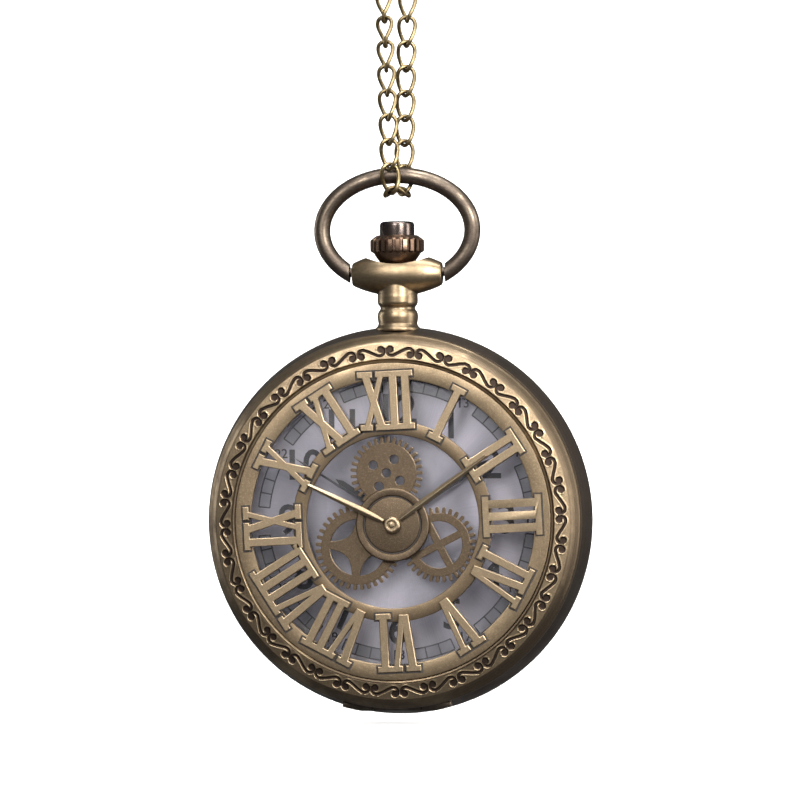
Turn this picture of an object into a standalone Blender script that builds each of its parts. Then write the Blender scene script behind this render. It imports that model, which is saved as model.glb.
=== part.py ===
"""Openwork pocket watch on a doubled curb chain with an end ring and a lobster clasp.

World frame: +Z up, the watch faces -Y, and the origin is the inside top of the clasp's hook,
the point the watch hangs from. Lengths are in millimetres and are scaled to metres on use.
Case pieces are drawn in the dial frame (x right, y up, z towards the reader), whose empty
turns that z to -Y. Pendant, bow and chain are drawn in the stem frame, which is not turned.
"""

import math

import bmesh
import bpy
from mathutils import Matrix, Vector

MM = 0.001

# ---- driving dimensions, mm ----
CASE_R = 23.5            # widest radius of the case band
BAND_BULGE = 0.9         # the band's middle stands out from its edges by this much
BAND_WALL = 2.1          # case band wall at its edges
FLANGE = 1.0             # width of the band's front ledge inside the dial's edge
BAND_FRONT = 3.3         # dial-frame z of the band's front face
BAND_BACK = -4.0         # dial-frame z of the band's back face
BACK_FACE = -7.3         # outer face of the back cover
BACK_SHOULDER = 5.6      # width of the back cover's rounded edge
BACK_WALL = 0.8
COVER_FRONT = 7.0        # front face of the cover's rings
COVER_PLATE = 0.9        # thickness of the openwork plate
COVER_SKIRT = 1.2        # radial thickness of the cover's rim
NUMERAL_RELIEF = 0.3     # the numerals stand proud of the rings by this much
SCROLL_BAND = 3.5        # width of the border between rim and outer ring
OUTER_RING_W = 1.9
INNER_RING_IN, INNER_RING_OUT = 10.45, 12.1
NUMERAL_TURN = math.radians(2.5)   # the cover's numerals sit a little anticlockwise
NUMERAL_LAP_IN, NUMERAL_LAP_OUT = 0.55, 0.9    # how far the numerals reach on to the rings
SERIF = 0.75             # radial height of a serif
BAR_W, THIN_W, BAR_GAP = 1.1, 0.8, 0.42
LETTER_W = 2.9           # spread of a V or an X
SERIF_REACH = 0.45

PARTING_GAP = 0.08       # cover to band, back to band
FIT = 0.05               # running clearance, radial
SEAT = 0.04              # gap between pieces that rest on each other

HINGE_INSET = 0.5        # hinge axis inside the rim, and in front of the band by HINGE_RISE
HINGE_RISE = 0.05
KNUCKLE_R = 0.9
HINGE_PIN_R = 0.4
COVER_KNUCKLE_W = 5.8
HINGE_W = 13.2
HINGE_TRIM = 0.4         # the knuckles are turned flush this far inside the widest radius
KNUCKLE_CLEAR = 0.1

BEZEL_CLEAR = 0.4        # bezel to the cover's rim
BEZEL_W, BEZEL_LIP = 3.3, 1.9
CRYSTAL_T = 1.0
CRYSTAL_DROP = 0.1       # the crystal's face lies below the bezel's
DIAL_T, DIAL_BACK = 0.4, 1.9
DIAL_CLEAR = 0.9         # dial edge to band
MOVEMENT_R = 13.7
HOLDER_CLEAR = 0.3
PLATE_T, PLATE_BACK = 1.8, -0.9

DISC_Y = -0.4            # the decorative wheels' centre is a little below the rings' centre
DISC_R, DISC_GROOVE_R = 4.43, 3.46
GEAR_T = 0.5             # the three wheels lie behind the inner ring
GEAR_GAP = 0.07

LATCH_HALF_W, LATCH_T = 1.0, 0.4
LATCH_CLEAR = 0.15       # latch to band, and to its slots' sides
LATCH_NOSE_CLEAR = 0.35  # latch nose to the cover's rim

PENDANT_GAP = 0.1        # pendant foot to case band
NECK_H = 6.55            # pendant foot to bow pivots
SADDLE_HALF_W = 5.5
BORE_R = 1.25
CROWN_RISE, CROWN_H = 0.9, 3.55    # crown foot above the pivots; crown's height
CROWN_R, FLUTES = 3.3, 22
BUTTON_R, BUTTON_RISE = 2.115, 1.7
BUTTON_TRAVEL = 0.7
TUBE_R = 0.85            # crown tube
ROD_R = 0.42             # push rod

BOW_WIRE_R = 1.0
BOW_A, BOW_B, BOW_RISE = 9.2, 6.7, 5.05
BOW_END_GAP = 0.35       # bow's cut ends to the saddle
BOW_PIN_R = 0.55

LINK_WIRE_R = 0.25
LINK_W, LINK_H, LINK_TWIST = 1.03, 1.785, 0.5
STRAND_LINKS = 9
RING_R, RING_WIRE_R = 2.8, 0.38
RING_YAW = math.radians(37)
RING_ABOVE_BAR = 26.42   # ring centre above the bow's bar

EYE_R, EYE_HOLE_R = 1.5, 0.85
HOOK_MID, HOOK_A, HOOK_B = 7.4, 3.3, 4.3
HOOK_THICK = 2.2
WINDOW_A, WINDOW_B = 1.75, 2.7
LEVER_THICK = 1.0
LEVER_PIN_R = 0.3

# ---- places that follow from the sizes above ----
RIM_R = CASE_R - BAND_BULGE                   # radius where band, cover and back meet
CAVITY_R = RIM_R - BAND_WALL
SKIRT_IN = RIM_R - COVER_SKIRT
DIAL_R = CAVITY_R - DIAL_CLEAR
HOLDER_IN = MOVEMENT_R + HOLDER_CLEAR
OUTER_RING_OUT = RIM_R - SCROLL_BAND
OUTER_RING_IN = OUTER_RING_OUT - OUTER_RING_W
NUMERAL_IN, NUMERAL_OUT = INNER_RING_IN + NUMERAL_LAP_IN, OUTER_RING_IN + NUMERAL_LAP_OUT
RING_BACK = COVER_FRONT - COVER_PLATE + 0.05
GEAR_Z = RING_BACK - GEAR_GAP - GEAR_T / 2
BEZEL_TOP = GEAR_Z - GEAR_T / 2 - 2 * SEAT
BEZEL_OUT = SKIRT_IN - BEZEL_CLEAR
BEZEL_IN = BEZEL_OUT - BEZEL_W
CRYSTAL_R = BEZEL_OUT - BEZEL_LIP - FIT
CRYSTAL_Z = BEZEL_TOP - CRYSTAL_DROP - CRYSTAL_T        # underside of the crystal
HINGE_Y, HINGE_Z = HINGE_INSET - RIM_R, BAND_FRONT + HINGE_RISE
LATCH_OUT = CAVITY_R - LATCH_CLEAR
LATCH_IN = LATCH_OUT - LATCH_T
LATCH_SLOT_IN = LATCH_IN - BUTTON_TRAVEL - LATCH_CLEAR
PENDANT_BASE = CASE_R + PENDANT_GAP
PIVOT_Z = PENDANT_BASE + NECK_H
CROWN_FOOT = PIVOT_Z + CROWN_RISE
CROWN_TOP = CROWN_FOOT + CROWN_H
BUTTON_TOP = CROWN_TOP + BUTTON_RISE
BOW_END_X = SADDLE_HALF_W + BOW_END_GAP
BOW_MID_Z = PIVOT_Z + BOW_RISE
BAR_Z = BOW_MID_Z + BOW_B
RING_Z = BAR_Z + RING_ABOVE_BAR
EYE_Z = RING_Z + RING_R                       # the ring's wire runs through the clasp's eye
HANG = EYE_Z + HOOK_MID + WINDOW_B            # hanging point above the case centre

ROUND = 48               # steps of a large turned piece
SMALL = 16               # steps of a small one

for old in list(bpy.data.objects):
    bpy.data.objects.remove(old, do_unlink=True)

watch = bpy.data.collections.new("pocket_watch")
cutters = bpy.data.collections.new("cutters")
bpy.context.scene.collection.children.link(watch)
bpy.context.scene.collection.children.link(cutters)


def make_material(name, colour, roughness, metallic, alpha=1.0):
    mat = bpy.data.materials.new(name)
    mat.use_nodes = True
    shader = mat.node_tree.nodes["Principled BSDF"]
    shader.inputs["Base Color"].default_value = (*colour, 1.0)
    shader.inputs["Roughness"].default_value = roughness
    shader.inputs["Metallic"].default_value = metallic
    shader.inputs["Alpha"].default_value = alpha
    return mat


BRASS = make_material("antique_brass", (0.42, 0.33, 0.18), 0.38, 1.0)
DARK = make_material("dark_bronze", (0.20, 0.16, 0.12), 0.35, 1.0)
COPPER = make_material("warm_bronze", (0.36, 0.25, 0.16), 0.32, 1.0)
STEEL = make_material("movement_steel", (0.62, 0.62, 0.64), 0.3, 1.0)
DIAL_PAINT = make_material("dial_silver", (0.62, 0.62, 0.68), 0.4, 0.2)
BLACK = make_material("hand_black", (0.02, 0.02, 0.02), 0.4, 0.0)
GLASS = make_material("crystal_glass", (0.9, 0.93, 0.95), 0.05, 0.0, 0.35)
PLASTIC = make_material("holder_plastic", (0.72, 0.72, 0.70), 0.5, 0.0)
BOARD = make_material("board_green", (0.05, 0.22, 0.10), 0.5, 0.0)


def make_empty(name, location, rotation=(0, 0, 0)):
    empty = bpy.data.objects.new(name, None)
    empty.location = Vector(location) * MM
    empty.rotation_euler = rotation
    watch.objects.link(empty)
    return empty


DIAL_FRAME = make_empty("dial_frame", (0, 0, -HANG), (math.pi / 2, 0, 0))
STEM_FRAME = make_empty("stem_frame", (0, 0, -HANG))
CLASP_FRAME = make_empty("clasp_frame", (0, 0, EYE_Z - HANG), (0, 0, RING_YAW - math.pi / 2))

UP_THE_STEM = (-math.pi / 2, 0, 0)            # turns a lathe's z to the dial frame's y
ALONG_X = (0, math.pi / 2, 0)


def place(obj, parent, location=(0, 0, 0), rotation=(0, 0, 0)):
    obj.parent = parent
    obj.location = Vector(location) * MM
    obj.rotation_euler = rotation
    return obj


def finish(obj, mat, parent, location=(0, 0, 0), rotation=(0, 0, 0), cutter=False):
    obj.data.materials.clear()
    obj.data.materials.append(mat)
    (cutters if cutter else watch).objects.link(obj)
    if cutter:
        obj.hide_render = True
        obj.display_type = "WIRE"
    return place(obj, parent, location, rotation)


def lathe(name, profile, mat, parent, steps=ROUND, location=(0, 0, 0), rotation=(0, 0, 0),
          cutter=False):
    """A profile of (radius, height) turned about z: its outer side runs from top to bottom."""
    mesh = bpy.data.meshes.new(name)
    closed = profile[0][0] > 0
    count = len(profile)
    edges = [(i, i + 1) for i in range(count - 1)]
    if closed:
        edges.append((count - 1, 0))
    mesh.from_pydata([(r * MM, 0, z * MM) for r, z in profile], edges, [])
    obj = bpy.data.objects.new(name, mesh)
    screw = obj.modifiers.new("turn", "SCREW")
    screw.axis = "Z"
    screw.steps = steps
    screw.render_steps = steps
    screw.use_merge_vertices = True
    screw.merge_threshold = 1e-6
    screw.use_smooth_shade = True
    return finish(obj, mat, parent, location, rotation, cutter)


def prism(name, outlines, thickness, mat, parent, location=(0, 0, 0), rotation=(0, 0, 0),
          cutter=False):
    """Flat outlines in x, y, thickened about z = 0; an outline inside another is a hole."""
    curve = bpy.data.curves.new(name, "CURVE")
    curve.dimensions = "2D"
    curve.fill_mode = "BOTH"
    curve.extrude = thickness * MM / 2
    for outline in outlines:
        spline = curve.splines.new("POLY")
        spline.points.add(len(outline) - 1)
        for point, (x, y) in zip(spline.points, outline):
            point.co = (x * MM, y * MM, 0, 1)
        spline.use_cyclic_u = True
    obj = bpy.data.objects.new(name, curve)
    return finish(obj, mat, parent, location, rotation, cutter)


def wire(name, points, radius, mat, parent, closed=True, location=(0, 0, 0),
         rotation=(0, 0, 0), resolution=2):
    curve = bpy.data.curves.new(name, "CURVE")
    curve.dimensions = "3D"
    curve.bevel_depth = radius * MM
    curve.bevel_resolution = resolution
    curve.use_fill_caps = True
    spline = curve.splines.new("POLY")
    spline.points.add(len(points) - 1)
    for point, xyz in zip(spline.points, points):
        point.co = (*(Vector(xyz) * MM), 1)
    spline.use_cyclic_u = closed
    obj = bpy.data.objects.new(name, curve)
    return finish(obj, mat, parent, location, rotation)


def to_mesh(obj):
    """Replaces a curve object by a welded mesh object of the same name and place."""
    bpy.context.view_layer.update()
    depsgraph = bpy.context.evaluated_depsgraph_get()
    mesh = bpy.data.meshes.new_from_object(obj.evaluated_get(depsgraph))
    work = bmesh.new()
    work.from_mesh(mesh)
    bmesh.ops.remove_doubles(work, verts=work.verts, dist=1e-7)
    work.to_mesh(mesh)
    work.free()
    name, mat, parent = obj.name, obj.data.materials[0], obj.parent
    location, rotation = obj.location.copy(), obj.rotation_euler.copy()
    cutter = obj.display_type == "WIRE"
    curve = obj.data
    bpy.data.objects.remove(obj, do_unlink=True)
    bpy.data.curves.remove(curve)
    solid = bpy.data.objects.new(name, mesh)
    return finish(solid, mat, parent, location / MM, rotation, cutter)


def box(name, low, high, mat, parent, cutter=False, location=(0, 0, 0), rotation=(0, 0, 0)):
    low, high = Vector(low) * MM, Vector(high) * MM
    work = bmesh.new()
    shape = Matrix.Translation((low + high) / 2) @ Matrix.Diagonal((*(high - low), 1.0))
    bmesh.ops.create_cube(work, size=1.0, matrix=shape)
    mesh = bpy.data.meshes.new(name)
    work.to_mesh(mesh)
    work.free()
    return finish(bpy.data.objects.new(name, mesh), mat, parent, location, rotation, cutter)


def rod(name, radius, length, mat, parent, location=(0, 0, 0), rotation=(0, 0, 0),
        cutter=False, steps=SMALL):
    """A cylinder along its own z, centred on its location."""
    half = length / 2
    profile = [(0, half), (radius, half), (radius, -half), (0, -half)]
    return lathe(name, profile, mat, parent, steps, location, rotation, cutter)


def combine(target, tool, operation, self_overlap=False):
    step = target.modifiers.new(tool.name, "BOOLEAN")
    step.operation = operation
    step.solver = "EXACT"
    step.use_self = self_overlap
    step.object = tool
    return target


def cut(target, tool):
    return combine(target, tool, "DIFFERENCE")


def join(target, tool, self_overlap=False):
    return combine(target, tool, "UNION", self_overlap)


def circle(radius, count, x=0.0, y=0.0, start=0.0):
    turn = 2 * math.pi / count
    return [(x + radius * math.cos(start + i * turn), y + radius * math.sin(start + i * turn))
            for i in range(count)]


def gear_outline(tip, root, teeth):
    """Trapezoid teeth: wide at the root, narrow at the tip."""
    pitch = 2 * math.pi / teeth
    points = []
    for tooth in range(teeth):
        for radius, share in ((root, -0.3), (tip, -0.16), (tip, 0.16), (root, 0.3)):
            angle = (tooth + share) * pitch
            points.append((radius * math.cos(angle), radius * math.sin(angle)))
    return points


# ---- case ----
def case_band():
    back, front = BAND_BACK, BAND_FRONT
    flange_in = DIAL_R - FLANGE
    bulge = [(RIM_R + BAND_BULGE * math.sin(math.pi * i / 6),
              front + (back - front) * i / 6) for i in range(7)]
    inner = [(CAVITY_R, back), (CAVITY_R, front - 0.8), (flange_in, front - 0.8),
             (flange_in, front)]
    band = lathe("case_band", bulge + inner, BRASS, DIAL_FRAME)
    bore = rod("band_bore", BORE_R, BAND_WALL + BAND_BULGE + 3, BRASS, DIAL_FRAME,
               (0, CASE_R - 1, 0), UP_THE_STEM, cutter=True)
    slot_half = LATCH_HALF_W + LATCH_CLEAR
    slot = box("latch_slot_band", (-slot_half, LATCH_SLOT_IN, 2),
               (slot_half, CAVITY_R + 0.2, front + 1), BRASS, DIAL_FRAME, cutter=True)
    cut(cut(band, bore), slot)
    knuckle_len = (HINGE_W - COVER_KNUCKLE_W) / 2 - PARTING_GAP
    for side, tag in ((-1, "left"), (1, "right")):
        middle = side * (COVER_KNUCKLE_W / 2 + PARTING_GAP + knuckle_len / 2)
        join(band, rod("band_knuckle_" + tag, KNUCKLE_R, knuckle_len, BRASS, DIAL_FRAME,
                       (middle, HINGE_Y, HINGE_Z), ALONG_X, cutter=True))
    clear = rod("cover_knuckle_clear", KNUCKLE_R + KNUCKLE_CLEAR, COVER_KNUCKLE_W + 2 * PARTING_GAP,
                BRASS, DIAL_FRAME, (0, HINGE_Y, HINGE_Z), ALONG_X, cutter=True)
    cut(band, clear)
    flush_r = CASE_R - HINGE_TRIM
    cut(band, lathe("knuckle_trim", tube_profile(CASE_R + 3, flush_r, front - 1, front + 2), BRASS,
                    DIAL_FRAME, cutter=True))
    hole = rod("band_pin_hole", HINGE_PIN_R + FIT, HINGE_W + 4, BRASS, DIAL_FRAME,
               (0, HINGE_Y, HINGE_Z), ALONG_X, cutter=True)
    return cut(band, hole)


def back_cover():
    top = BAND_BACK - PARTING_GAP
    lip_out, lip_in = CAVITY_R - FIT, CAVITY_R - FIT - BACK_WALL
    lip_top = BAND_BACK + 0.7
    drop = top - BACK_FACE
    flat_r = RIM_R - BACK_SHOULDER
    curve = [(flat_r + BACK_SHOULDER * math.cos(math.pi / 2 * i / 5),
              top - drop * math.sin(math.pi / 2 * i / 5)) for i in range(6)]
    inside = [(flat_r, BACK_FACE + BACK_WALL), (lip_in, top - 0.9), (lip_in, lip_top)]
    profile = ([(lip_out, lip_top), (lip_out, top)] + curve + [(0, BACK_FACE)])
    profile += [(0, BACK_FACE + BACK_WALL)] + inside
    return closed_lathe("back_cover", profile, BRASS, DIAL_FRAME)


def closed_lathe(name, profile, mat, parent, steps=ROUND):
    """A turned piece whose outline starts and ends off the axis but touches it in between."""
    mesh = bpy.data.meshes.new(name)
    count = len(profile)
    edges = [(i, (i + 1) % count) for i in range(count)
             if not (profile[i][0] == 0 and profile[(i + 1) % count][0] == 0)]
    mesh.from_pydata([(r * MM, 0, z * MM) for r, z in profile], edges, [])
    obj = bpy.data.objects.new(name, mesh)
    screw = obj.modifiers.new("turn", "SCREW")
    screw.steps = steps
    screw.render_steps = steps
    screw.use_merge_vertices = True
    screw.merge_threshold = 1e-6
    screw.use_smooth_shade = True
    return finish(obj, mat, parent)


def bezel_ring():
    ledge = CRYSTAL_Z - SEAT
    profile = [(CRYSTAL_R + FIT, BEZEL_TOP), (BEZEL_OUT - 0.4, BEZEL_TOP),
               (BEZEL_OUT, BEZEL_TOP - 0.5), (BEZEL_OUT, BAND_FRONT + SEAT),
               (BEZEL_IN, BAND_FRONT + SEAT), (BEZEL_IN, ledge), (CRYSTAL_R + FIT, ledge)]
    bezel = lathe("bezel_ring", profile, DARK, DIAL_FRAME)
    slot_half = LATCH_HALF_W + LATCH_CLEAR
    slot = box("latch_slot_bezel", (-slot_half, LATCH_SLOT_IN, 2),
               (slot_half, BEZEL_OUT + 1, BEZEL_TOP + 1), DARK, DIAL_FRAME, cutter=True)
    return cut(bezel, slot)


def crystal():
    top = CRYSTAL_Z + CRYSTAL_T
    profile = [(0, top), (CRYSTAL_R - 0.2, top), (CRYSTAL_R, top - 0.2), (CRYSTAL_R, CRYSTAL_Z),
               (0, CRYSTAL_Z)]
    return lathe("crystal", profile, GLASS, DIAL_FRAME)


def latch():
    """A plate between the holder and the band, pushed inwards by the button's rod."""
    plate = box("latch", (-LATCH_HALF_W, LATCH_IN, -0.9), (LATCH_HALF_W, LATCH_OUT, 4.9), STEEL,
                DIAL_FRAME)
    nose = box("latch_nose", (-LATCH_HALF_W * 0.8, LATCH_OUT - 0.2, 4.25),
               (LATCH_HALF_W * 0.8, SKIRT_IN - LATCH_NOSE_CLEAR, 4.85), STEEL, DIAL_FRAME, cutter=True)
    return join(plate, nose)


# ---- front cover ----
GLYPHS = ["XII", "I", "II", "III", "IV", "V", "VI", "VII", "VIII", "IX", "X", "XI"]


def glyph_strokes(text):
    """Strokes of one numeral as (x at its foot, x at its head, width), centred on x = 0."""
    advance = {"I": BAR_W, "V": LETTER_W, "X": LETTER_W}
    total = sum(advance[c] for c in text) + BAR_GAP * (len(text) - 1)
    strokes, x = [], -total / 2
    for letter in text:
        w = advance[letter]
        left, right, middle = x + BAR_W / 2, x + w - THIN_W / 2, x + w / 2
        if letter == "I":
            strokes.append((middle, middle, BAR_W))
        elif letter == "V":
            strokes += [(middle - 0.15, left, BAR_W), (middle + 0.15, right, THIN_W)]
        else:
            strokes += [(right - 0.15, left, BAR_W), (left, right, THIN_W)]
        x += w + BAR_GAP
    return strokes


def add_bar(work, low, high, foot, head, width, z_low, z_high, turn):
    """One straight stroke between two radii, sheared from its foot to its head."""
    shape = Matrix(((width, head - foot, 0, (head + foot) / 2),
                    (0, high - low, 0, (high + low) / 2),
                    (0, 0, z_high - z_low, (z_high + z_low) / 2),
                    (0, 0, 0, 1)))
    scale = Matrix.Diagonal((MM, MM, MM, 1.0))
    bmesh.ops.create_cube(work, size=1.0, matrix=scale @ Matrix.Rotation(-turn, 4, "Z") @ shape)


def numerals():
    work = bmesh.new()
    low = COVER_FRONT - COVER_PLATE + 0.1
    high = COVER_FRONT + NUMERAL_RELIEF
    for hour, text in enumerate(GLYPHS):
        turn = hour * math.pi / 6 - NUMERAL_TURN
        strokes = glyph_strokes(text)
        for foot, head, width in strokes:
            add_bar(work, NUMERAL_IN + 0.1, NUMERAL_OUT - 0.1, foot, head, width, low, high, turn)
        for inner, outer, end in ((NUMERAL_IN, NUMERAL_IN + SERIF, 0),
                                  (NUMERAL_OUT - SERIF, NUMERAL_OUT, 1)):
            left = min(stroke[end] - stroke[2] / 2 for stroke in strokes) - SERIF_REACH
            right = max(stroke[end] + stroke[2] / 2 for stroke in strokes) + SERIF_REACH
            add_bar(work, inner, outer, (left + right) / 2, (left + right) / 2, right - left,
                    low, high, turn)
    mesh = bpy.data.meshes.new("numerals")
    work.to_mesh(mesh)
    work.free()
    return finish(bpy.data.objects.new("numerals", mesh), BRASS, DIAL_FRAME, cutter=True)


def cover_frame():
    front, back = COVER_FRONT, COVER_FRONT - COVER_PLATE
    foot = BAND_FRONT + PARTING_GAP
    profile = [(OUTER_RING_IN, front), (OUTER_RING_OUT, front), (OUTER_RING_OUT + 0.2, front - 0.3),
               (OUTER_RING_OUT + 0.5, front), (RIM_R - 1.3, front - 0.35),
               (RIM_R - 0.85, front - 1.1), (RIM_R - 0.3, front - 1.9), (RIM_R, front - 2.4),
               (RIM_R, foot + 0.2), (RIM_R - 0.1, foot), (SKIRT_IN, foot), (SKIRT_IN, back),
               (OUTER_RING_IN, back)]
    frame = lathe("cover_frame", profile, BRASS, DIAL_FRAME, steps=60)
    inner = [(INNER_RING_IN, front - 0.1), (INNER_RING_OUT, front - 0.1),
             (INNER_RING_OUT, RING_BACK), (INNER_RING_IN, RING_BACK)]
    ring = lathe("inner_ring", inner, BRASS, DIAL_FRAME, steps=40, cutter=True)
    strokes = numerals()
    join(strokes, ring, self_overlap=True)
    join(frame, strokes)
    knuckle = rod("cover_knuckle", KNUCKLE_R, COVER_KNUCKLE_W, BRASS, DIAL_FRAME,
                  (0, HINGE_Y, HINGE_Z), ALONG_X, cutter=True)
    join(frame, knuckle)
    knuckle_len = (HINGE_W - COVER_KNUCKLE_W) / 2 + PARTING_GAP
    for side, tag in ((-1, "left"), (1, "right")):
        middle = side * (COVER_KNUCKLE_W / 2 + knuckle_len / 2)
        cut(frame, rod("cover_clear_" + tag, KNUCKLE_R + KNUCKLE_CLEAR, knuckle_len, BRASS,
                       DIAL_FRAME, (middle, HINGE_Y, HINGE_Z), ALONG_X, cutter=True))
    hole = rod("cover_pin_hole", HINGE_PIN_R + FIT, HINGE_W, BRASS, DIAL_FRAME,
               (0, HINGE_Y, HINGE_Z), ALONG_X, cutter=True)
    return cut(frame, hole)


def cover_wheels():
    holes = [circle(0.55, 12)]
    holes += [circle(0.55, 12, 1.87 * math.cos(a), 1.87 * math.sin(a))
              for a in (math.radians(d) for d in (60, 150, 240, 330))]
    prism("gear_top", [gear_outline(4.4, 3.62, 33)] + holes, GEAR_T, BRASS, DIAL_FRAME,
          (-0.77, DISC_Y + 6.22, GEAR_Z))
    prism("gear_left", [gear_outline(5.15, 4.45, 36)] + petals(3.4), GEAR_T, BRASS, DIAL_FRAME,
          (-4.31, DISC_Y - 2.73, GEAR_Z), (0, 0, math.radians(-5)))
    prism("gear_right", [gear_outline(4.55, 3.8, 33)] + quadrants(2.83, 0.45), GEAR_T, BRASS,
          DIAL_FRAME, (5.52, DISC_Y - 2.44, GEAR_Z), (0, 0, math.radians(27)))


def petals(radius):
    """Four lens-shaped windows between four curved spokes."""
    windows = []
    for quarter in range(4):
        middle = math.pi / 4 + quarter * math.pi / 2
        spread = math.radians(37)
        outer = [(radius * math.cos(middle + spread * (i / 3 - 1)),
                  radius * math.sin(middle + spread * (i / 3 - 1))) for i in range(7)]
        tip_a, tip_b = Vector(outer[-1]), Vector(outer[0])
        bow_in = Vector((math.cos(middle), math.sin(middle))) * radius * 0.28
        inner = []
        for i in range(1, 6):
            t = i / 6
            chord = tip_a.lerp(tip_b, t)
            inner.append(tuple(chord - bow_in * math.sin(math.pi * t)))
        windows.append(outer + inner)
    return windows


def quadrants(radius, half_spoke):
    """Four sector windows between the arms of a cross."""
    windows = []
    inset = math.asin(half_spoke / radius)
    for quarter in range(4):
        start = quarter * math.pi / 2
        arc = [start + inset + (math.pi / 2 - 2 * inset) * i / 5 for i in range(6)]
        corner_turn = start + math.pi / 4
        corner = half_spoke * math.sqrt(2)
        windows.append([(corner * math.cos(corner_turn), corner * math.sin(corner_turn))]
                       + [(radius * math.cos(a), radius * math.sin(a)) for a in arc])
    return windows


def centre_disc():
    back = GEAR_Z + GEAR_T / 2 + SEAT
    front = COVER_FRONT
    profile = [(0, front), (DISC_GROOVE_R - 0.1, front), (DISC_GROOVE_R, front - 0.12),
               (DISC_GROOVE_R + 0.1, front), (DISC_R - 0.1, front), (DISC_R, front - 0.1),
               (DISC_R, back), (0, back)]
    lathe("centre_disc", profile, BRASS, DIAL_FRAME, 32, (0, DISC_Y, 0))
    return front


def decor_hand(name, length, heading, back, tail=1.15):
    """A slim straight hand, widest a third of the way out; heading is clockwise from the top."""
    half = 0.42
    outline = [(-0.2, tail), (-half, length * 0.35), (-0.22, length - 0.2), (0, length),
               (0.22, length - 0.2), (half, length * 0.35), (0.2, tail)]
    return prism(name, [outline], 0.3, BRASS, DIAL_FRAME, (0, DISC_Y, back + 0.15),
                 (0, 0, -math.radians(heading)))


def cover_centre():
    front = centre_disc()
    back = COVER_FRONT + NUMERAL_RELIEF + SEAT     # the hands pass over the numerals' feet
    decor_hand("decor_hour_hand", 11.4, 295.6, back)
    decor_hand("decor_minute_hand", 14.2, 54.4, back)
    cap = [(0, back + 0.5), (0.7, back + 0.45), (1.0, back + 0.2), (1.0, front + SEAT),
           (0, front + SEAT)]
    lathe("centre_cap", cap, BRASS, DIAL_FRAME, SMALL, (0, DISC_Y, 0))


def hinge_pin():
    return rod("hinge_pin", HINGE_PIN_R, HINGE_W - 2.8, DARK, DIAL_FRAME, (0, HINGE_Y, HINGE_Z),
               ALONG_X, steps=16)


# ---- dial, hands and movement ----
HOUR_TUBE_R, MINUTE_TUBE_R, SECOND_ARBOR_R = 0.95, 0.6, 0.25
HOUR_HEADING, MINUTE_HEADING, SECOND_HEADING = 304.5, 57.0, 302.0


def tube_profile(outer, inner, low, high):
    return [(inner, high), (outer, high), (outer, low), (inner, low)]


def dial():
    hole = HOUR_TUBE_R + FIT + 0.1
    plate = lathe("dial", tube_profile(DIAL_R, hole, DIAL_BACK, DIAL_BACK + DIAL_T), DIAL_PAINT,
                  DIAL_FRAME)
    notch = box("dial_notch", (-LATCH_HALF_W - 0.2, LATCH_SLOT_IN + 0.05, 0),
                (LATCH_HALF_W + 0.2, CAVITY_R + 1, 4), DIAL_PAINT, DIAL_FRAME, cutter=True)
    return cut(plate, notch)


def dial_hand(name, length, half, boss, bore, z, thickness, heading):
    outline = [(-half, 0.0), (-half * 0.8, length * 0.9), (0, length), (half * 0.8, length * 0.9),
               (half, 0.0), (half * 0.7, -boss - 1.2), (-half * 0.7, -boss - 1.2)]
    hand = to_mesh(prism(name, [outline], thickness, BLACK, DIAL_FRAME, (0, 0, z),
                         (0, 0, -math.radians(heading))))
    hub = lathe(name + "_hub", [(0, thickness / 2 + 0.01), (boss, thickness / 2 + 0.01),
                                (boss, -thickness / 2 - 0.01), (0, -thickness / 2 - 0.01)],
                BLACK, DIAL_FRAME, SMALL, (0, 0, z), cutter=True)
    join(hand, hub)
    if bore:
        cut(hand, rod(name + "_bore", bore, 2, BLACK, DIAL_FRAME, (0, 0, z), cutter=True))
    return hand


def hands():
    floor = DIAL_BACK + DIAL_T
    dial_hand("hour_hand", 9.0, 0.45, 1.25, HOUR_TUBE_R + SEAT, floor + 0.55, 0.2, HOUR_HEADING)
    dial_hand("minute_hand", 13.6, 0.38, 0.95, MINUTE_TUBE_R + SEAT, floor + 1.05, 0.2,
              MINUTE_HEADING)
    dial_hand("second_hand", 14.6, 0.16, 0.6, 0, floor + 1.6, 0.16, SECOND_HEADING)


def wheel_and_tube(name, wheel_r, wheel_low, wheel_t, tube_r, bore, tube_high, location=(0, 0, 0)):
    """A wheel with a tube in front of it, turned in one piece."""
    top = wheel_low + wheel_t
    profile = [(bore, tube_high), (tube_r, tube_high), (tube_r, top), (wheel_r, top),
               (wheel_r, wheel_low), (bore, wheel_low)]
    if not bore:
        profile = profile[:-1] + [(0, wheel_low)]
        profile[0] = (0, tube_high)
    return lathe(name, profile, COPPER, DIAL_FRAME, SMALL, location)


def train_wheel(name, levels, location):
    """A solid arbor with discs, given from front to back as (radius, low, high)."""
    arbor = 0.2
    top = PLATE_BACK - 0.1
    profile = [(0, top), (arbor, top)]
    for radius, low, high in levels:
        profile += [(arbor, high), (radius, high), (radius, low), (arbor, low)]
    profile += [(arbor, -3.0), (0, -3.0)]
    return lathe(name, profile, COPPER, DIAL_FRAME, SMALL, location)


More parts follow.
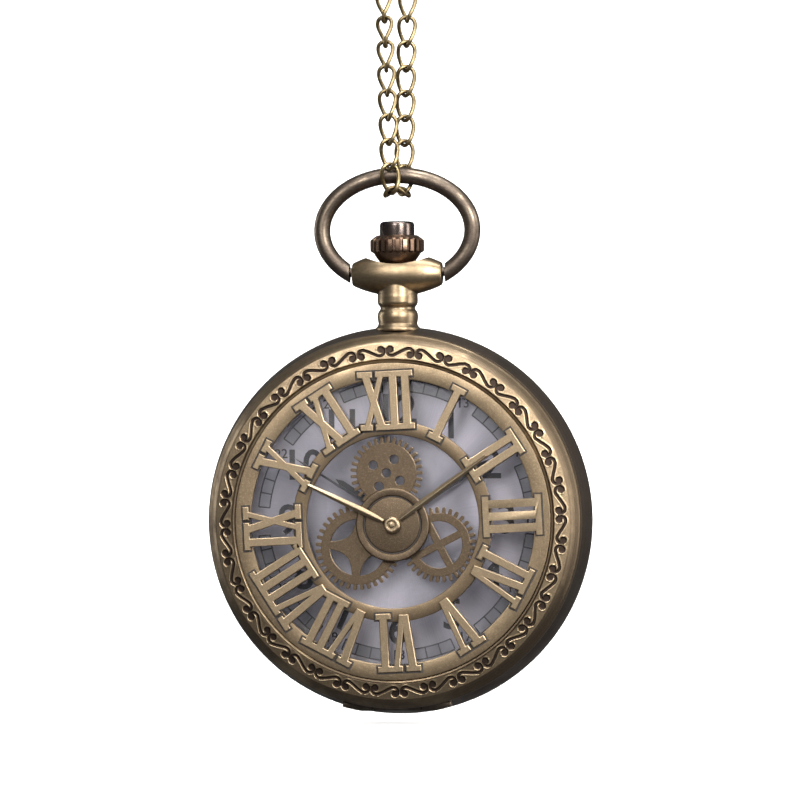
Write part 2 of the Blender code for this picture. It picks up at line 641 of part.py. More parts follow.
def movement():
    floor = DIAL_BACK + DIAL_T
    gap = 0.02                                   # between pitch discs
    centre_low, third_low, second_low, middle_low = -1.35, -2.2, -2.65, -1.75
    wheel_t = 0.18
    centre_dist, middle_dist, rotor_dist, motion_dist = 3.4, 3.0, 3.06, 3.3
    plate_hole = MINUTE_TUBE_R + FIT
    lathe("main_plate", tube_profile(MOVEMENT_R, plate_hole, PLATE_BACK, PLATE_BACK + PLATE_T),
          STEEL, DIAL_FRAME, 48)
    wheel_and_tube("hour_wheel", motion_dist * 0.8 - gap, 1.2, 0.25, HOUR_TUBE_R,
                   MINUTE_TUBE_R + FIT, floor + 0.55)
    wheel_and_tube("centre_wheel", centre_dist * 80 / 90 - gap, centre_low, wheel_t,
                   MINUTE_TUBE_R, SECOND_ARBOR_R + FIT, floor + 1.05)
    wheel_and_tube("second_wheel", middle_dist * 0.8 - gap, second_low, wheel_t, SECOND_ARBOR_R,
                   0, floor + 1.6 - 0.08 - SEAT)
    third = direction(centre_dist, 200)
    train_wheel("third_wheel", [(centre_dist * 10 / 90 - gap, centre_low, centre_low + wheel_t),
                                (centre_dist * 60 / 68 - gap, third_low, third_low + wheel_t)],
                (*third, 0))
    middle = direction(middle_dist, 320)
    train_wheel("intermediate_wheel",
                [(rotor_dist * 60 / 68 - gap, middle_low, middle_low + wheel_t),
                 (middle_dist * 0.2 - gap, second_low, second_low + wheel_t)], (*middle, 0))
    step = direction(rotor_dist, 340)
    rotor = (middle[0] + step[0], middle[1] + step[1])
    train_wheel("rotor", [(rotor_dist * 8 / 68 - gap, middle_low, middle_low + wheel_t),
                          (0.9, -2.6, -2.1)], (*rotor, 0))
    minute_at = direction(motion_dist, 120)
    lathe("minute_wheel", [(0, 1.6), (motion_dist * 0.2 - gap, 1.6), (motion_dist * 0.2 - gap, 1.15),
                           (1.9, 1.15), (1.9, 0.98), (0, 0.98)], COPPER, DIAL_FRAME, SMALL,
          (*minute_at, 0))
    stator = [[(rotor[0] - 1.75, -7.0), (rotor[0] + 2.1, -7.0), (rotor[0] + 2.1, 2.0),
               (rotor[0] - 1.75, 2.0)], circle(1.15, 16, *rotor)]
    prism("stator", stator, 0.4, STEEL, DIAL_FRAME, (0, 0, -2.35))
    coil_x = rotor[0] + 2.1 + 0.3 + 1.4
    coil = [(0, 4.2), (1.4, 4.2), (1.4, 3.8), (1.1, 3.8), (1.1, -3.8), (1.4, -3.8), (1.4, -4.2),
            (0, -4.2)]
    lathe("coil", coil, COPPER, DIAL_FRAME, SMALL, (coil_x, -2.5, -2.4), UP_THE_STEM)
    rod("battery", 4.75, 2.1, STEEL, DIAL_FRAME, (-4.5, 7.2, -2.1), steps=SMALL)
    board = [(1.0, 4.2), (10.2, 4.2), (9.6, 8.2), (4.0, 12.0), (1.0, 12.0)]
    prism("circuit_board", [board], 0.3, BOARD, DIAL_FRAME, (0, 0, PLATE_BACK - 0.25))
    rod("quartz_can", 0.95, 5.5, STEEL, DIAL_FRAME, (5.4, 6.2, -2.3), ALONG_X, steps=16)
    holder = lathe("movement_holder", tube_profile(CAVITY_R - 0.2, HOLDER_IN, -3.1, DIAL_BACK - SEAT),
                   PLASTIC, DIAL_FRAME, 48)
    notch = box("latch_notch", (-LATCH_HALF_W - 0.4, LATCH_SLOT_IN - 0.15, -4),
                (LATCH_HALF_W + 0.4, CAVITY_R + 1, 4), PLASTIC, DIAL_FRAME, cutter=True)
    cut(holder, notch)


def direction(distance, degrees):
    angle = math.radians(degrees)
    return (distance * math.cos(angle), distance * math.sin(angle))


# ---- pendant, crown, button and bow ----
def pendant():
    bead, waist = 2.46, 2.13
    foot = PENDANT_BASE
    neck = [(0, PIVOT_Z), (bead * 0.9, PIVOT_Z), (bead, foot + 3.7), (bead, foot + 2.7),
            (waist, foot + 2.25), (waist, foot + 2.05), (bead, foot + 1.6), (bead, foot + 0.6),
            (bead - 0.25, foot), (0, foot)]
    body = lathe("pendant", neck, BRASS, STEM_FRAME, 24)
    barrel_r, end_r = 2.62, 1.35
    half = SADDLE_HALF_W
    profile = [(0, half), (end_r, half), (end_r + 0.85, half * 0.73), (barrel_r - 0.1, half * 0.42),
               (barrel_r, 0), (barrel_r - 0.1, -half * 0.42), (end_r + 0.85, -half * 0.73),
               (end_r, -half), (0, -half)]
    saddle = lathe("saddle", profile, BRASS, STEM_FRAME, 24, (0, 0, PIVOT_Z - 0.25), ALONG_X,
                   cutter=True)
    join(body, saddle)
    dish_r = 6.8
    dish = lathe("crown_dish", [(0, dish_r)] + [(dish_r * math.sin(math.pi * i / 24),
                 dish_r * math.cos(math.pi * i / 24)) for i in range(1, 24)] + [(0, -dish_r)],
                 BRASS, STEM_FRAME, 24, (0, 0, CROWN_FOOT - 0.35 + dish_r), cutter=True)
    cut(body, dish)
    cut(body, rod("pendant_bore", BORE_R, 12, BRASS, STEM_FRAME, (0, 0, foot + 5.4), cutter=True))
    for side, tag in ((-1, "left"), (1, "right")):
        cut(body, rod("bow_pin_hole_" + tag, BOW_PIN_R + FIT, 2.6, BRASS, STEM_FRAME,
                      (side * SADDLE_HALF_W, 0, PIVOT_Z), ALONG_X, cutter=True, steps=16))
    return body


def crown():
    bowl_r = 1.8
    skirt = CROWN_FOOT + 1.55
    low = CASE_R - 1.2
    profile = [(BUTTON_R + FIT, CROWN_TOP), (CROWN_R - 0.75, CROWN_TOP), (CROWN_R - 0.2, skirt + 1.7),
               (CROWN_R - 0.2, skirt), (bowl_r + 0.9, skirt - 0.9), (bowl_r, CROWN_FOOT),
               (TUBE_R, CROWN_FOOT), (TUBE_R, low), (ROD_R + FIT, low),
               (ROD_R + FIT, CROWN_TOP - BUTTON_TRAVEL - 1.1),
               (BUTTON_R + FIT, CROWN_TOP - BUTTON_TRAVEL - 1.1)]
    body = lathe("crown", profile, COPPER, STEM_FRAME, 24)
    pitch = 2 * math.pi / FLUTES
    outline = []
    for flute in range(FLUTES):
        for radius, share in ((CROWN_R - 0.28, -0.3), (CROWN_R, -0.15), (CROWN_R, 0.15),
                              (CROWN_R - 0.28, 0.3)):
            angle = (flute + share) * pitch
            outline.append((radius * math.cos(angle), radius * math.sin(angle)))
    ring = to_mesh(prism("crown_flutes", [outline, circle(CROWN_R - 0.6, 24)], 1.6, COPPER,
                         STEM_FRAME, (0, 0, skirt + 0.9), cutter=True))
    return join(body, ring)


def crown_sleeve():
    profile = tube_profile(BORE_R - FIT, TUBE_R + FIT, CASE_R - 0.9, PIVOT_Z + 0.05)
    return lathe("crown_sleeve", profile, STEEL, STEM_FRAME, SMALL)


def push_button():
    low = CROWN_TOP - 0.7
    tip = LATCH_OUT + SEAT
    profile = [(0, BUTTON_TOP), (BUTTON_R - 0.5, BUTTON_TOP), (BUTTON_R, BUTTON_TOP - 0.35),
               (BUTTON_R, low), (ROD_R, low), (ROD_R, tip), (0, tip)]
    return lathe("push_button", profile, DARK, STEM_FRAME, SMALL)


def bow():
    # runs from the right pivot over the top to the left one, cut square at both ends
    first = math.acos((BOW_END_X - 0.7) / BOW_A)
    count = 24
    points = []
    for i in range(count + 1):
        turn = -first + (math.pi + 2 * first) * i / count
        points.append((BOW_A * math.cos(turn), 0, BOW_MID_Z + BOW_B * math.sin(turn)))
    body = to_mesh(wire("bow", points, BOW_WIRE_R, DARK, STEM_FRAME, closed=False, resolution=2))
    deep = BOW_WIRE_R * 3
    cut(body, box("bow_square_cut", (-BOW_END_X, -deep, PIVOT_Z - 5), (BOW_END_X, deep, PIVOT_Z + 3),
                  DARK, STEM_FRAME, cutter=True))
    pin_len = 1.9
    for side, tag in ((-1, "left"), (1, "right")):
        middle = side * (BOW_END_X + 0.5 - pin_len / 2)
        join(body, rod("bow_pin_" + tag, BOW_PIN_R, pin_len, DARK, STEM_FRAME,
                       (middle, 0, PIVOT_Z), ALONG_X, cutter=True, steps=16))
    return body


# ---- chain ----
def link_points(count=12):
    """A twisted link: an oval in x, z whose sides swing to and fro in y."""
    points = []
    for i in range(count):
        t = 2 * math.pi * i / count
        points.append((LINK_W * math.cos(t), LINK_TWIST * math.sin(2 * t), LINK_H * math.sin(t)))
    return points


def link(name, middle, turn):
    obj = wire(name, link_points(), LINK_WIRE_R, BRASS, STEM_FRAME, resolution=1)
    return place(obj, STEM_FRAME, middle, turn)


def strand(side, first, first_turn, last, last_turn, ease):
    """Links from the bow's bar up to the end ring, each turned a little more than the last."""
    first, last = Vector(first), Vector(last)
    run = last - first
    lean = Vector((0, 0, 1)).rotation_difference(run.normalized()).to_matrix()
    for number in range(1, STRAND_LINKS + 1):
        share = (number - 1) / (STRAND_LINKS - 1)
        twist = first_turn[2] + (last_turn[2] - first_turn[2]) * share ** ease
        if number == 1:
            turn = first_turn
        elif number == STRAND_LINKS:
            turn = last_turn
        else:
            turn = (lean @ Matrix.Rotation(twist, 3, "Z")).to_euler()
        link(f"chain_link_{side}_{number}", first + run * share, turn)


def chain():
    bar, ring = Vector((0, 0, BAR_Z)), Vector((0, 0, RING_Z))
    strand("left", bar + Vector((-0.569, -1.419, -0.461)), (0.100, -0.081, -0.138),
           ring + Vector((-1.336, -1.007, -3.08)), (-0.05, -0.048, -1.111), 1.0)
    strand("right", bar + Vector((0.705, 1.442, -0.553)), (-0.109, 0.081, -0.135),
           ring + Vector((1.442, 1.087, -2.87)), (0.097, 0.106, -0.827), 3.0)
    # the link under the bar lies flat, from the front strand's foot to the back strand's
    link("chain_link_wrap", bar + Vector((0.028, 0.068, -2.002)), (math.pi / 2, 0, -0.682))
    across = Vector((math.cos(RING_YAW), math.sin(RING_YAW), 0))
    count = 24
    points = []
    for i in range(count):
        t = 2 * math.pi * i / count
        points.append(ring + across * RING_R * math.cos(t) + Vector((0, 0, RING_R * math.sin(t))))
    wire("end_ring", points, RING_WIRE_R, BRASS, STEM_FRAME, resolution=2)


# ---- clasp, drawn in x, z of its own frame with the ring's wire at the origin ----
LEVER_AT = math.radians(-48)                  # pivot, as an angle round the hook
GATE_TOP = math.radians(40)                   # upper end of the gate


def hook_point(share, angle):
    """A point between the window's edge (0) and the hook's outside (1)."""
    a = WINDOW_A + (HOOK_A - WINDOW_A) * share
    b = WINDOW_B + (HOOK_B - WINDOW_B) * share
    return (a * math.cos(angle), HOOK_MID + b * math.sin(angle))


def clasp():
    flat = (math.pi / 2, 0, 0)
    turns = [2 * math.pi * i / 28 for i in range(28)]
    outer = [hook_point(1, t) for t in turns]
    window = [hook_point(0, t) for t in turns]
    body = to_mesh(prism("clasp_body", [outer, window], HOOK_THICK, BRASS, CLASP_FRAME,
                         rotation=flat))
    neck = [(-0.9, 0.9), (0.9, 0.9), (1.5, HOOK_MID - HOOK_B + 0.9), (-1.5, HOOK_MID - HOOK_B + 0.9)]
    join(body, to_mesh(prism("clasp_neck", [neck], HOOK_THICK - 0.4, BRASS, CLASP_FRAME,
                             rotation=flat, cutter=True)))
    eye = to_mesh(prism("clasp_eye", [circle(EYE_R, 16), circle(EYE_HOLE_R, 16)], 1.4, BRASS,
                        CLASP_FRAME, rotation=flat, cutter=True))
    join(body, eye)
    px, pz = hook_point(0.5, LEVER_AT)
    cheek_r, slot_half = 0.95, LEVER_THICK / 2 + FIT
    join(body, rod("lever_cheeks", cheek_r, HOOK_THICK - 0.1, BRASS, CLASP_FRAME, (px, 0, pz), flat,
                   cutter=True))
    cut(body, rod("lever_pin_hole", LEVER_PIN_R + FIT, 4, BRASS, CLASP_FRAME, (px, 0, pz), flat,
                  cutter=True, steps=16))
    gate = [(px, pz + cheek_r + 0.1), (HOOK_A + 1, pz + cheek_r + 0.1),
            hook_point(1.8, GATE_TOP), hook_point(-0.2, GATE_TOP)]
    cut(body, to_mesh(prism("gate_cut", [gate], HOOK_THICK + 1, BRASS, CLASP_FRAME, rotation=flat,
                            cutter=True)))
    cut(body, rod("lever_slot", cheek_r + 0.1, 2 * slot_half, BRASS, CLASP_FRAME, (px, 0, pz), flat,
                  cutter=True))
    sweep = [(px - 1.2, pz), (px + 1.2, pz), (HOOK_A + 1, pz + 2.4), (px - 1.9, pz + 2.4)]
    cut(body, to_mesh(prism("lever_sweep", [sweep], 2 * slot_half, BRASS, CLASP_FRAME,
                            rotation=flat, cutter=True)))
    tip = Vector(hook_point(0.85, GATE_TOP)) - Vector((px, pz))
    reach, first = tip.length + 0.15, math.atan2(tip.y, tip.x) - math.radians(12)
    swing = [(px, pz)] + [(px + reach * math.cos(first + math.radians(6) * i),
                           pz + reach * math.sin(first + math.radians(6) * i)) for i in range(8)]
    cut(body, to_mesh(prism("nose_slot", [swing], 2 * slot_half, BRASS, CLASP_FRAME,
                            rotation=flat, cutter=True)))
    rod("clasp_pin", LEVER_PIN_R, HOOK_THICK, DARK, CLASP_FRAME, (px, 0, pz), flat, steps=16)

    hinge = make_empty("lever_hinge", (px, 0, pz))
    hinge.parent = CLASP_FRAME
    lever_top = GATE_TOP - math.radians(4)
    arc = [LEVER_AT + (lever_top - LEVER_AT) * i / 7 for i in range(8)]
    blade = [hook_point(0.85, t) for t in arc] + [hook_point(0.2, t) for t in reversed(arc)]
    blade = [(x - px, z - pz) for x, z in blade]
    lever = to_mesh(prism("clasp_lever", [blade], LEVER_THICK, BRASS, hinge, rotation=flat))
    join(lever, rod("lever_knuckle", 0.8, LEVER_THICK + 0.02, BRASS, hinge, rotation=flat,
                    cutter=True))
    tab = [(0.3, -0.3), (1.9, 0.5), (1.9, 1.1), (0.5, 1.2)]
    join(lever, to_mesh(prism("lever_tab", [tab], LEVER_THICK - 0.1, BRASS, hinge, rotation=flat,
                              cutter=True)))
    cut(lever, rod("lever_bore", LEVER_PIN_R + FIT, 4, BRASS, hinge, rotation=flat, cutter=True,
                   steps=16))


case_band()
back_cover()
bezel_ring()
crystal()
latch()
dial()
hands()
movement()
hinge_pin()
cover_frame()
cover_wheels()
cover_centre()
pendant()
crown_sleeve()
crown()
push_button()
bow()
chain()
clasp()
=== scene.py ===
import math

import bmesh
import bpy
from mathutils import Matrix, Vector


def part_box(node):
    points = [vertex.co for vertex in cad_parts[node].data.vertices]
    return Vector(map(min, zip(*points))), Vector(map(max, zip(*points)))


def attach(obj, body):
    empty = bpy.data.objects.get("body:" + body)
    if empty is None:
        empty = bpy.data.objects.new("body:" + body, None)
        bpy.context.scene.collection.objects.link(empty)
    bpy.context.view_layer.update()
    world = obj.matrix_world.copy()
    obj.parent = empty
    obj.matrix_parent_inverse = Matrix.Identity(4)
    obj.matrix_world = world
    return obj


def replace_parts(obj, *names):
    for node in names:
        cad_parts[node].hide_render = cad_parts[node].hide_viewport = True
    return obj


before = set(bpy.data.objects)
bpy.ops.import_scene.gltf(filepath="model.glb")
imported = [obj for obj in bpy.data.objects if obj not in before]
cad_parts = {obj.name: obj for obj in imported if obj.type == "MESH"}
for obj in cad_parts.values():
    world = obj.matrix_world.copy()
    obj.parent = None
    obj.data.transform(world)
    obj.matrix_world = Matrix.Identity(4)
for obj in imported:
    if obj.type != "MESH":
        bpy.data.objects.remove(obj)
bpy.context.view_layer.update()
bandLow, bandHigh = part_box("case_band")
dialLow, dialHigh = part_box("dial")
caseZ = (bandHigh.z + bandHigh.z - (bandHigh.x - bandLow.x)) / 2   # case centre, from its top and width
mm = 0.001

# pieces are drawn in millimetres: dial space has x right, y up and z to the reader,
# stem space has z up; both start at the case centre
dialSpace = Matrix.Translation((0, 0, caseZ)) @ Matrix.Rotation(math.pi / 2, 4, "X") @ Matrix.Scale(mm, 4)
stemSpace = Matrix.Translation((0, 0, caseZ)) @ Matrix.Scale(mm, 4)


# camera and stage
view = {"yaw": 7.4, "roll": -0.5, "distance": 0.62, "frameTall": 0.0972, "aimX": 0.00017, "aimUp": 0.0146}


def makeCamera():
    turn = math.radians(view["yaw"])
    data = bpy.data.cameras.new("photoCamera")
    data.sensor_width = 36
    data.lens = 36 * view["distance"] / view["frameTall"]
    data.clip_start = 0.01
    data.clip_end = 20
    camera = bpy.data.objects.new("photoCamera", data)
    aim = Vector((view["aimX"], 0, caseZ + view["aimUp"]))
    camera.location = aim + Vector((math.sin(turn), -math.cos(turn), 0)) * view["distance"]
    look = Matrix.Rotation(turn, 4, "Z") @ Matrix.Rotation(math.pi / 2, 4, "X")
    camera.rotation_euler = (look @ Matrix.Rotation(math.radians(view["roll"]), 4, "Z")).to_euler()
    bpy.context.scene.collection.objects.link(camera)
    bpy.context.scene.camera = camera
    bpy.context.scene.view_settings.view_transform = "Standard"


# node helpers, for shader and geometry trees alike
def addNode(tree, kind, sets=None, feeds=None):
    node = tree.nodes.new(kind)
    for key, value in (sets or {}).items():
        setattr(node, key, value)
    for key, value in (feeds or {}).items():
        if isinstance(value, bpy.types.NodeSocket):
            tree.links.new(value, node.inputs[key])
        else:
            node.inputs[key].default_value = value
    return node


def calc(tree, operation, *values):
    feeds = {i: value for i, value in enumerate(values)}
    return addNode(tree, "ShaderNodeMath", {"operation": operation}, feeds).outputs[0]


def calcVector(tree, operation, *values):
    feeds = {i: value for i, value in enumerate(values)}
    return addNode(tree, "ShaderNodeVectorMath", {"operation": operation}, feeds).outputs[0]


def spread(tree, value, low, high, outLow=0.0, outHigh=1.0, smooth=True):
    kind = "SMOOTHSTEP" if smooth else "LINEAR"
    feeds = {"Value": value, "From Min": low, "From Max": high, "To Min": outLow, "To Max": outHigh}
    return addNode(tree, "ShaderNodeMapRange", {"interpolation_type": kind}, feeds).outputs["Result"]


# materials
def blankMaterial(name):
    mat = bpy.data.materials.new(name)
    mat.use_nodes = True
    return mat, mat.node_tree, mat.node_tree.nodes["Principled BSDF"]


def coordsInMm(tree):
    place = addNode(tree, "ShaderNodeTexCoord").outputs["Object"]
    return addNode(tree, "ShaderNodeVectorMath", {"operation": "SCALE"}, {0: place, "Scale": 1000.0}).outputs[0]


def noise(tree, place, scale, detail=3.0, rough=0.55):
    feeds = {"Vector": place, "Scale": scale, "Detail": detail, "Roughness": rough}
    return addNode(tree, "ShaderNodeTexNoise", None, feeds).outputs["Fac"]


def blendColours(tree, factor, first, second):
    node = addNode(tree, "ShaderNodeMix", {"data_type": "RGBA"}, {"Factor": factor})
    for socket, value in zip([s for s in node.inputs if s.type == "RGBA"], (first, second)):
        if isinstance(value, bpy.types.NodeSocket):
            tree.links.new(value, socket)
        else:
            socket.default_value = (*value, 1.0)
    return [s for s in node.outputs if s.type == "RGBA"][0]


def aboutDialAxis(tree, place):
    """Radius from the dial's axis and depth along it, for turned and brushed finishes."""
    centred = calcVector(tree, "SUBTRACT", place, (0, 0, caseZ / mm))
    flat = calcVector(tree, "MULTIPLY", centred, (1, 0, 1))
    radius = addNode(tree, "ShaderNodeVectorMath", {"operation": "LENGTH"}, {0: flat}).outputs["Value"]
    depth = addNode(tree, "ShaderNodeSeparateXYZ", None, {0: centred}).outputs["Y"]
    return addNode(tree, "ShaderNodeCombineXYZ", None, {"X": radius, "Y": depth}).outputs[0], flat


def antiqueMetal(name, look):
    """Plated metal: dark in the recesses, patchy, cast or brushed grain, worn on raised stretches."""
    mat, tree, shader = blankMaterial(name)
    place = coordsInMm(tree)
    cloud = noise(tree, place, look["cloudScale"], 5.0, 0.6)
    grain = noise(tree, place, look["grainScale"], 4.0, 0.7)
    hollow = addNode(tree, "ShaderNodeAmbientOcclusion", {"samples": 6, "only_local": True},
                     {"Distance": look["recess"] * mm}).outputs["AO"]
    open_ = spread(tree, hollow, look["recessLow"], 1.0)
    if look.get("reliefAttribute"):
        relief = addNode(tree, "ShaderNodeAttribute", {"attribute_name": "relief"}).outputs["Fac"]
        open_ = calc(tree, "MULTIPLY", open_, spread(tree, relief, 0.05, 0.6, 1.0, 0.0))
        lip = addNode(tree, "ShaderNodeAttribute", {"attribute_name": "lip"}).outputs["Fac"]
    patches = spread(tree, cloud, 0.38, 0.68)
    worn = calc(tree, "MULTIPLY", open_, calc(tree, "ADD", 1 - look["patch"],
                calc(tree, "MULTIPLY", patches, look["patch"])))
    colour = blendColours(tree, worn, look["dark"], look["body"])
    speck = spread(tree, grain, 0.5, 0.72)
    bright = calc(tree, "MULTIPLY", calc(tree, "MULTIPLY", speck, look["speck"]), open_)
    if look.get("reliefAttribute"):
        bright = calc(tree, "MAXIMUM", bright, lip)
    colour = blendColours(tree, bright, colour, look["bright"])
    pits = spread(tree, grain, 0.30, 0.42, look["pits"], 0.0)
    colour = blendColours(tree, pits, colour, look["dark"])
    height = grain
    if look.get("brushed"):
        rings, flat = aboutDialAxis(tree, place)
        if look["brushed"] == "stem":
            rings = calcVector(tree, "MULTIPLY", place, (0.35, 0.35, 1.0))
        lines = noise(tree, rings, look["lineScale"], 3.0, 0.6)
        height = lines
        tone = spread(tree, lines, 0.3, 0.7, -look["lineTone"], look["lineTone"], False)
        colour = addNode(tree, "ShaderNodeHueSaturation", None,
                         {"Color": colour, "Value": calc(tree, "ADD", 1.0, tone)}).outputs[0]
    tree.links.new(colour, shader.inputs["Base Color"])
    shader.inputs["Metallic"].default_value = 1.0
    rough = calc(tree, "ADD", look["roughness"], calc(tree, "MULTIPLY",
                 calc(tree, "SUBTRACT", 1.0, worn), look["roughRecess"]))
    tree.links.new(calc(tree, "ADD", rough, calc(tree, "MULTIPLY", grain, 0.06)), shader.inputs["Roughness"])
    bump = addNode(tree, "ShaderNodeBump", None, {"Height": height, "Strength": look["bump"],
                                                  "Distance": look["bumpDepth"] * mm})
    tree.links.new(bump.outputs[0], shader.inputs["Normal"])
    return mat


castLook = {"dark": (0.035, 0.023, 0.016), "body": (0.30, 0.228, 0.145), "bright": (0.62, 0.49, 0.31),
            "cloudScale": 0.22, "grainScale": 6.5, "recess": 0.8, "recessLow": 0.5, "patch": 0.4,
            "speck": 0.35, "pits": 0.35, "roughness": 0.30, "roughRecess": 0.25, "bump": 0.3, "bumpDepth": 0.02}
numeralLook = {**castLook, "body": (0.37, 0.285, 0.185), "bright": (0.72, 0.58, 0.38), "patch": 0.25, "pits": 0.3,
               "recessLow": 0.3, "recess": 0.4}
scrollLook = {**castLook, "reliefAttribute": True, "pits": 0.25, "patch": 0.4, "dark": (0.035, 0.025, 0.020)}
wheelLook = {**castLook, "body": (0.150, 0.112, 0.075), "bright": (0.34, 0.26, 0.165), "speck": 0.4, "pits": 0.5,
             "patch": 0.4}
rimLook = {**castLook, "dark": (0.055, 0.040, 0.030), "body": (0.32, 0.245, 0.155), "bright": (0.5, 0.39, 0.24),
           "speck": 0.15, "pits": 0.15, "patch": 0.75, "cloudScale": 0.12, "roughness": 0.27,
           "brushed": "dial", "lineScale": 7.0, "lineTone": 0.16, "bump": 0.12, "bumpDepth": 0.012}
bandLook = {**rimLook, "dark": (0.050, 0.038, 0.033), "body": (0.175, 0.140, 0.105), "bright": (0.42, 0.34, 0.24)}
bowLook = {**bandLook, "brushed": "stem", "lineScale": 5.0, "body": (0.185, 0.150, 0.115), "cloudScale": 0.3}
pendantLook = {**bowLook, "body": (0.27, 0.205, 0.125), "patch": 0.35, "recess": 1.6, "recessLow": 0.5, "roughness": 0.3}
copperLook = {**bowLook, "dark": (0.030, 0.018, 0.014), "body": (0.25, 0.165, 0.115), "bright": (0.62, 0.43, 0.28),
              "recess": 0.45, "recessLow": 0.55, "patch": 0.4, "roughness": 0.20, "lineTone": 0.08}
darkLook = {**bandLook, "body": (0.13, 0.105, 0.095), "bright": (0.3, 0.24, 0.18), "roughness": 0.17, "lineTone": 0.06}
chainLook = {**castLook, "body": (0.27, 0.205, 0.105), "bright": (0.55, 0.44, 0.25), "grainScale": 2.2, "pits": 0.3,
             "speck": 0.5, "recess": 0.5, "bump": 0.2}
trainLook = {**rimLook, "body": (0.55, 0.42, 0.2), "dark": (0.2, 0.14, 0.07), "bright": (0.75, 0.62, 0.36), "patch": 0.2}
steelLook = {**rimLook, "body": (0.5, 0.5, 0.52), "dark": (0.2, 0.2, 0.21), "bright": (0.75, 0.75, 0.78), "patch": 0.25,
             "roughness": 0.3}


def smoothMaterial(name, look):
    """Paint, enamel or moulded plastic with a fine surface and slightly uneven colour."""
    mat, tree, shader = blankMaterial(name)
    place = coordsInMm(tree)
    cloud = noise(tree, place, look["scale"], 4.0)
    dark = tuple(c * (1 - look["vary"]) for c in look["colour"])
    tree.links.new(blendColours(tree, spread(tree, cloud, 0.3, 0.7), dark, look["colour"]), shader.inputs["Base Color"])
    shader.inputs["Roughness"].default_value = look["roughness"]
    shader.inputs["Metallic"].default_value = look.get("metallic", 0.0)
    shader.inputs["Specular IOR Level"].default_value = look.get("specular", 0.5)
    bump = addNode(tree, "ShaderNodeBump", None, {"Height": noise(tree, place, look["scale"] * 6, 2.0),
                                                  "Strength": 0.08, "Distance": 0.01 * mm})
    tree.links.new(bump.outputs[0], shader.inputs["Normal"])
    return mat


def dialMaterial():
    """Silvery lilac dial with a fine sunray brushing that runs out from the centre."""
    mat, tree, shader = blankMaterial("dialSilver")
    place = coordsInMm(tree)
    _, flat = aboutDialAxis(tree, place)
    ray = calcVector(tree, "NORMALIZE", flat)
    rays = noise(tree, ray, 90.0, 3.0, 0.7)
    # broad lighter and darker sectors round the dial in the base colour: a painted sheen of the sunray finish
    sheen = noise(tree, ray, 1.6, 1.0)
    colour = blendColours(tree, spread(tree, sheen, 0.35, 0.65), (0.20, 0.195, 0.235), (0.31, 0.30, 0.355))
    tone = spread(tree, rays, 0.3, 0.7, 0.93, 1.07, False)
    colour = addNode(tree, "ShaderNodeHueSaturation", None, {"Color": colour, "Value": tone}).outputs[0]
    tree.links.new(colour, shader.inputs["Base Color"])
    shader.inputs["Metallic"].default_value = 0.55
    shader.inputs["Roughness"].default_value = 0.42
    bump = addNode(tree, "ShaderNodeBump", None, {"Height": rays, "Strength": 0.05, "Distance": 0.01 * mm})
    tree.links.new(bump.outputs[0], shader.inputs["Normal"])
    return mat


def glassMaterial():
    """Thin clear pane: nearly all of it passes straight through, the rest is gloss and faint wipe marks."""
    mat, tree, shader = blankMaterial("crystalGlass")
    shader.inputs["Base Color"].default_value = (0.95, 0.96, 1.0, 1.0)
    shader.inputs["Metallic"].default_value = 1.0
    wipe = noise(tree, coordsInMm(tree), 0.15, 4.0)
    tree.links.new(spread(tree, wipe, 0.3, 0.8, 0.22, 0.34), shader.inputs["Roughness"])
    shader.inputs["Alpha"].default_value = 0.055
    return mat


looks = {
    "cast": antiqueMetal("antiqueCast", castLook),
    "numeral": antiqueMetal("antiqueNumeral", numeralLook),
    "scroll": antiqueMetal("antiqueScroll", scrollLook),
    "wheel": antiqueMetal("antiqueWheel", wheelLook),
    "inner": antiqueMetal("antiqueInnerRing", {**wheelLook, "body": (0.22, 0.165, 0.105)}),
    "rim": antiqueMetal("brushedRim", rimLook),
    "band": antiqueMetal("brushedBand", bandLook),
    "bow": antiqueMetal("brushedBow", bowLook),
    "pendant": antiqueMetal("brushedPendant", pendantLook),
    "copper": antiqueMetal("copperCrown", copperLook),
    "dark": antiqueMetal("darkBronze", darkLook),
    "chain": antiqueMetal("antiqueChain", chainLook),
    "train": antiqueMetal("turnedBrass", trainLook),
    "steel": antiqueMetal("brushedSteel", steelLook),
    "dial": dialMaterial(),
    "glass": glassMaterial(),
    "print": smoothMaterial("dialPrint", {"colour": (0.012, 0.012, 0.016), "vary": 0.3, "roughness": 0.6, "scale": 2.0,
                                         "specular": 0.1}),
    "boxes": smoothMaterial("trackFill", {"colour": (0.13, 0.13, 0.155), "vary": 0.1, "roughness": 0.5, "scale": 2.0,
                                          "specular": 0.2}),
    "enamel": smoothMaterial("handEnamel", {"colour": (0.015, 0.015, 0.018), "vary": 0.2, "roughness": 0.35, "scale": 1.0,
                                           "specular": 0.25}),
    # near-black paint for painted shade: the slabs round the numeral serifs and the rings in the narrow grooves, where
    # shade falls
    "paintedShade": smoothMaterial("paintedShadow", {"colour": (0.020, 0.014, 0.010), "vary": 0.4, "roughness": 0.7, "scale": 3.0}),
    "holder": smoothMaterial("holderPlastic", {"colour": (0.70, 0.70, 0.68), "vary": 0.08, "roughness": 0.5, "scale": 0.5}),
    "board": smoothMaterial("boardGreen", {"colour": (0.04, 0.18, 0.08), "vary": 0.25, "roughness": 0.35, "scale": 1.5}),
    "copperWire": smoothMaterial("coilWire", {"colour": (0.55, 0.26, 0.12), "vary": 0.3, "roughness": 0.3, "scale": 4.0,
                                              "metallic": 1.0}),
}


# mesh helpers
def addPiece(name, mesh, look, body, space=None, sharp=18):
    if space is not None:
        mesh.transform(space)
    mesh.materials.clear()
    mesh.materials.append(looks[look])
    mesh.polygons.foreach_set("material_index", [0] * len(mesh.polygons))
    mesh.shade_smooth()
    mesh.set_sharp_from_angle(angle=math.radians(sharp))
    mesh.update()
    piece = bpy.data.objects.new(name, mesh)
    bpy.context.scene.collection.objects.link(piece)
    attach(piece, body)
    return piece


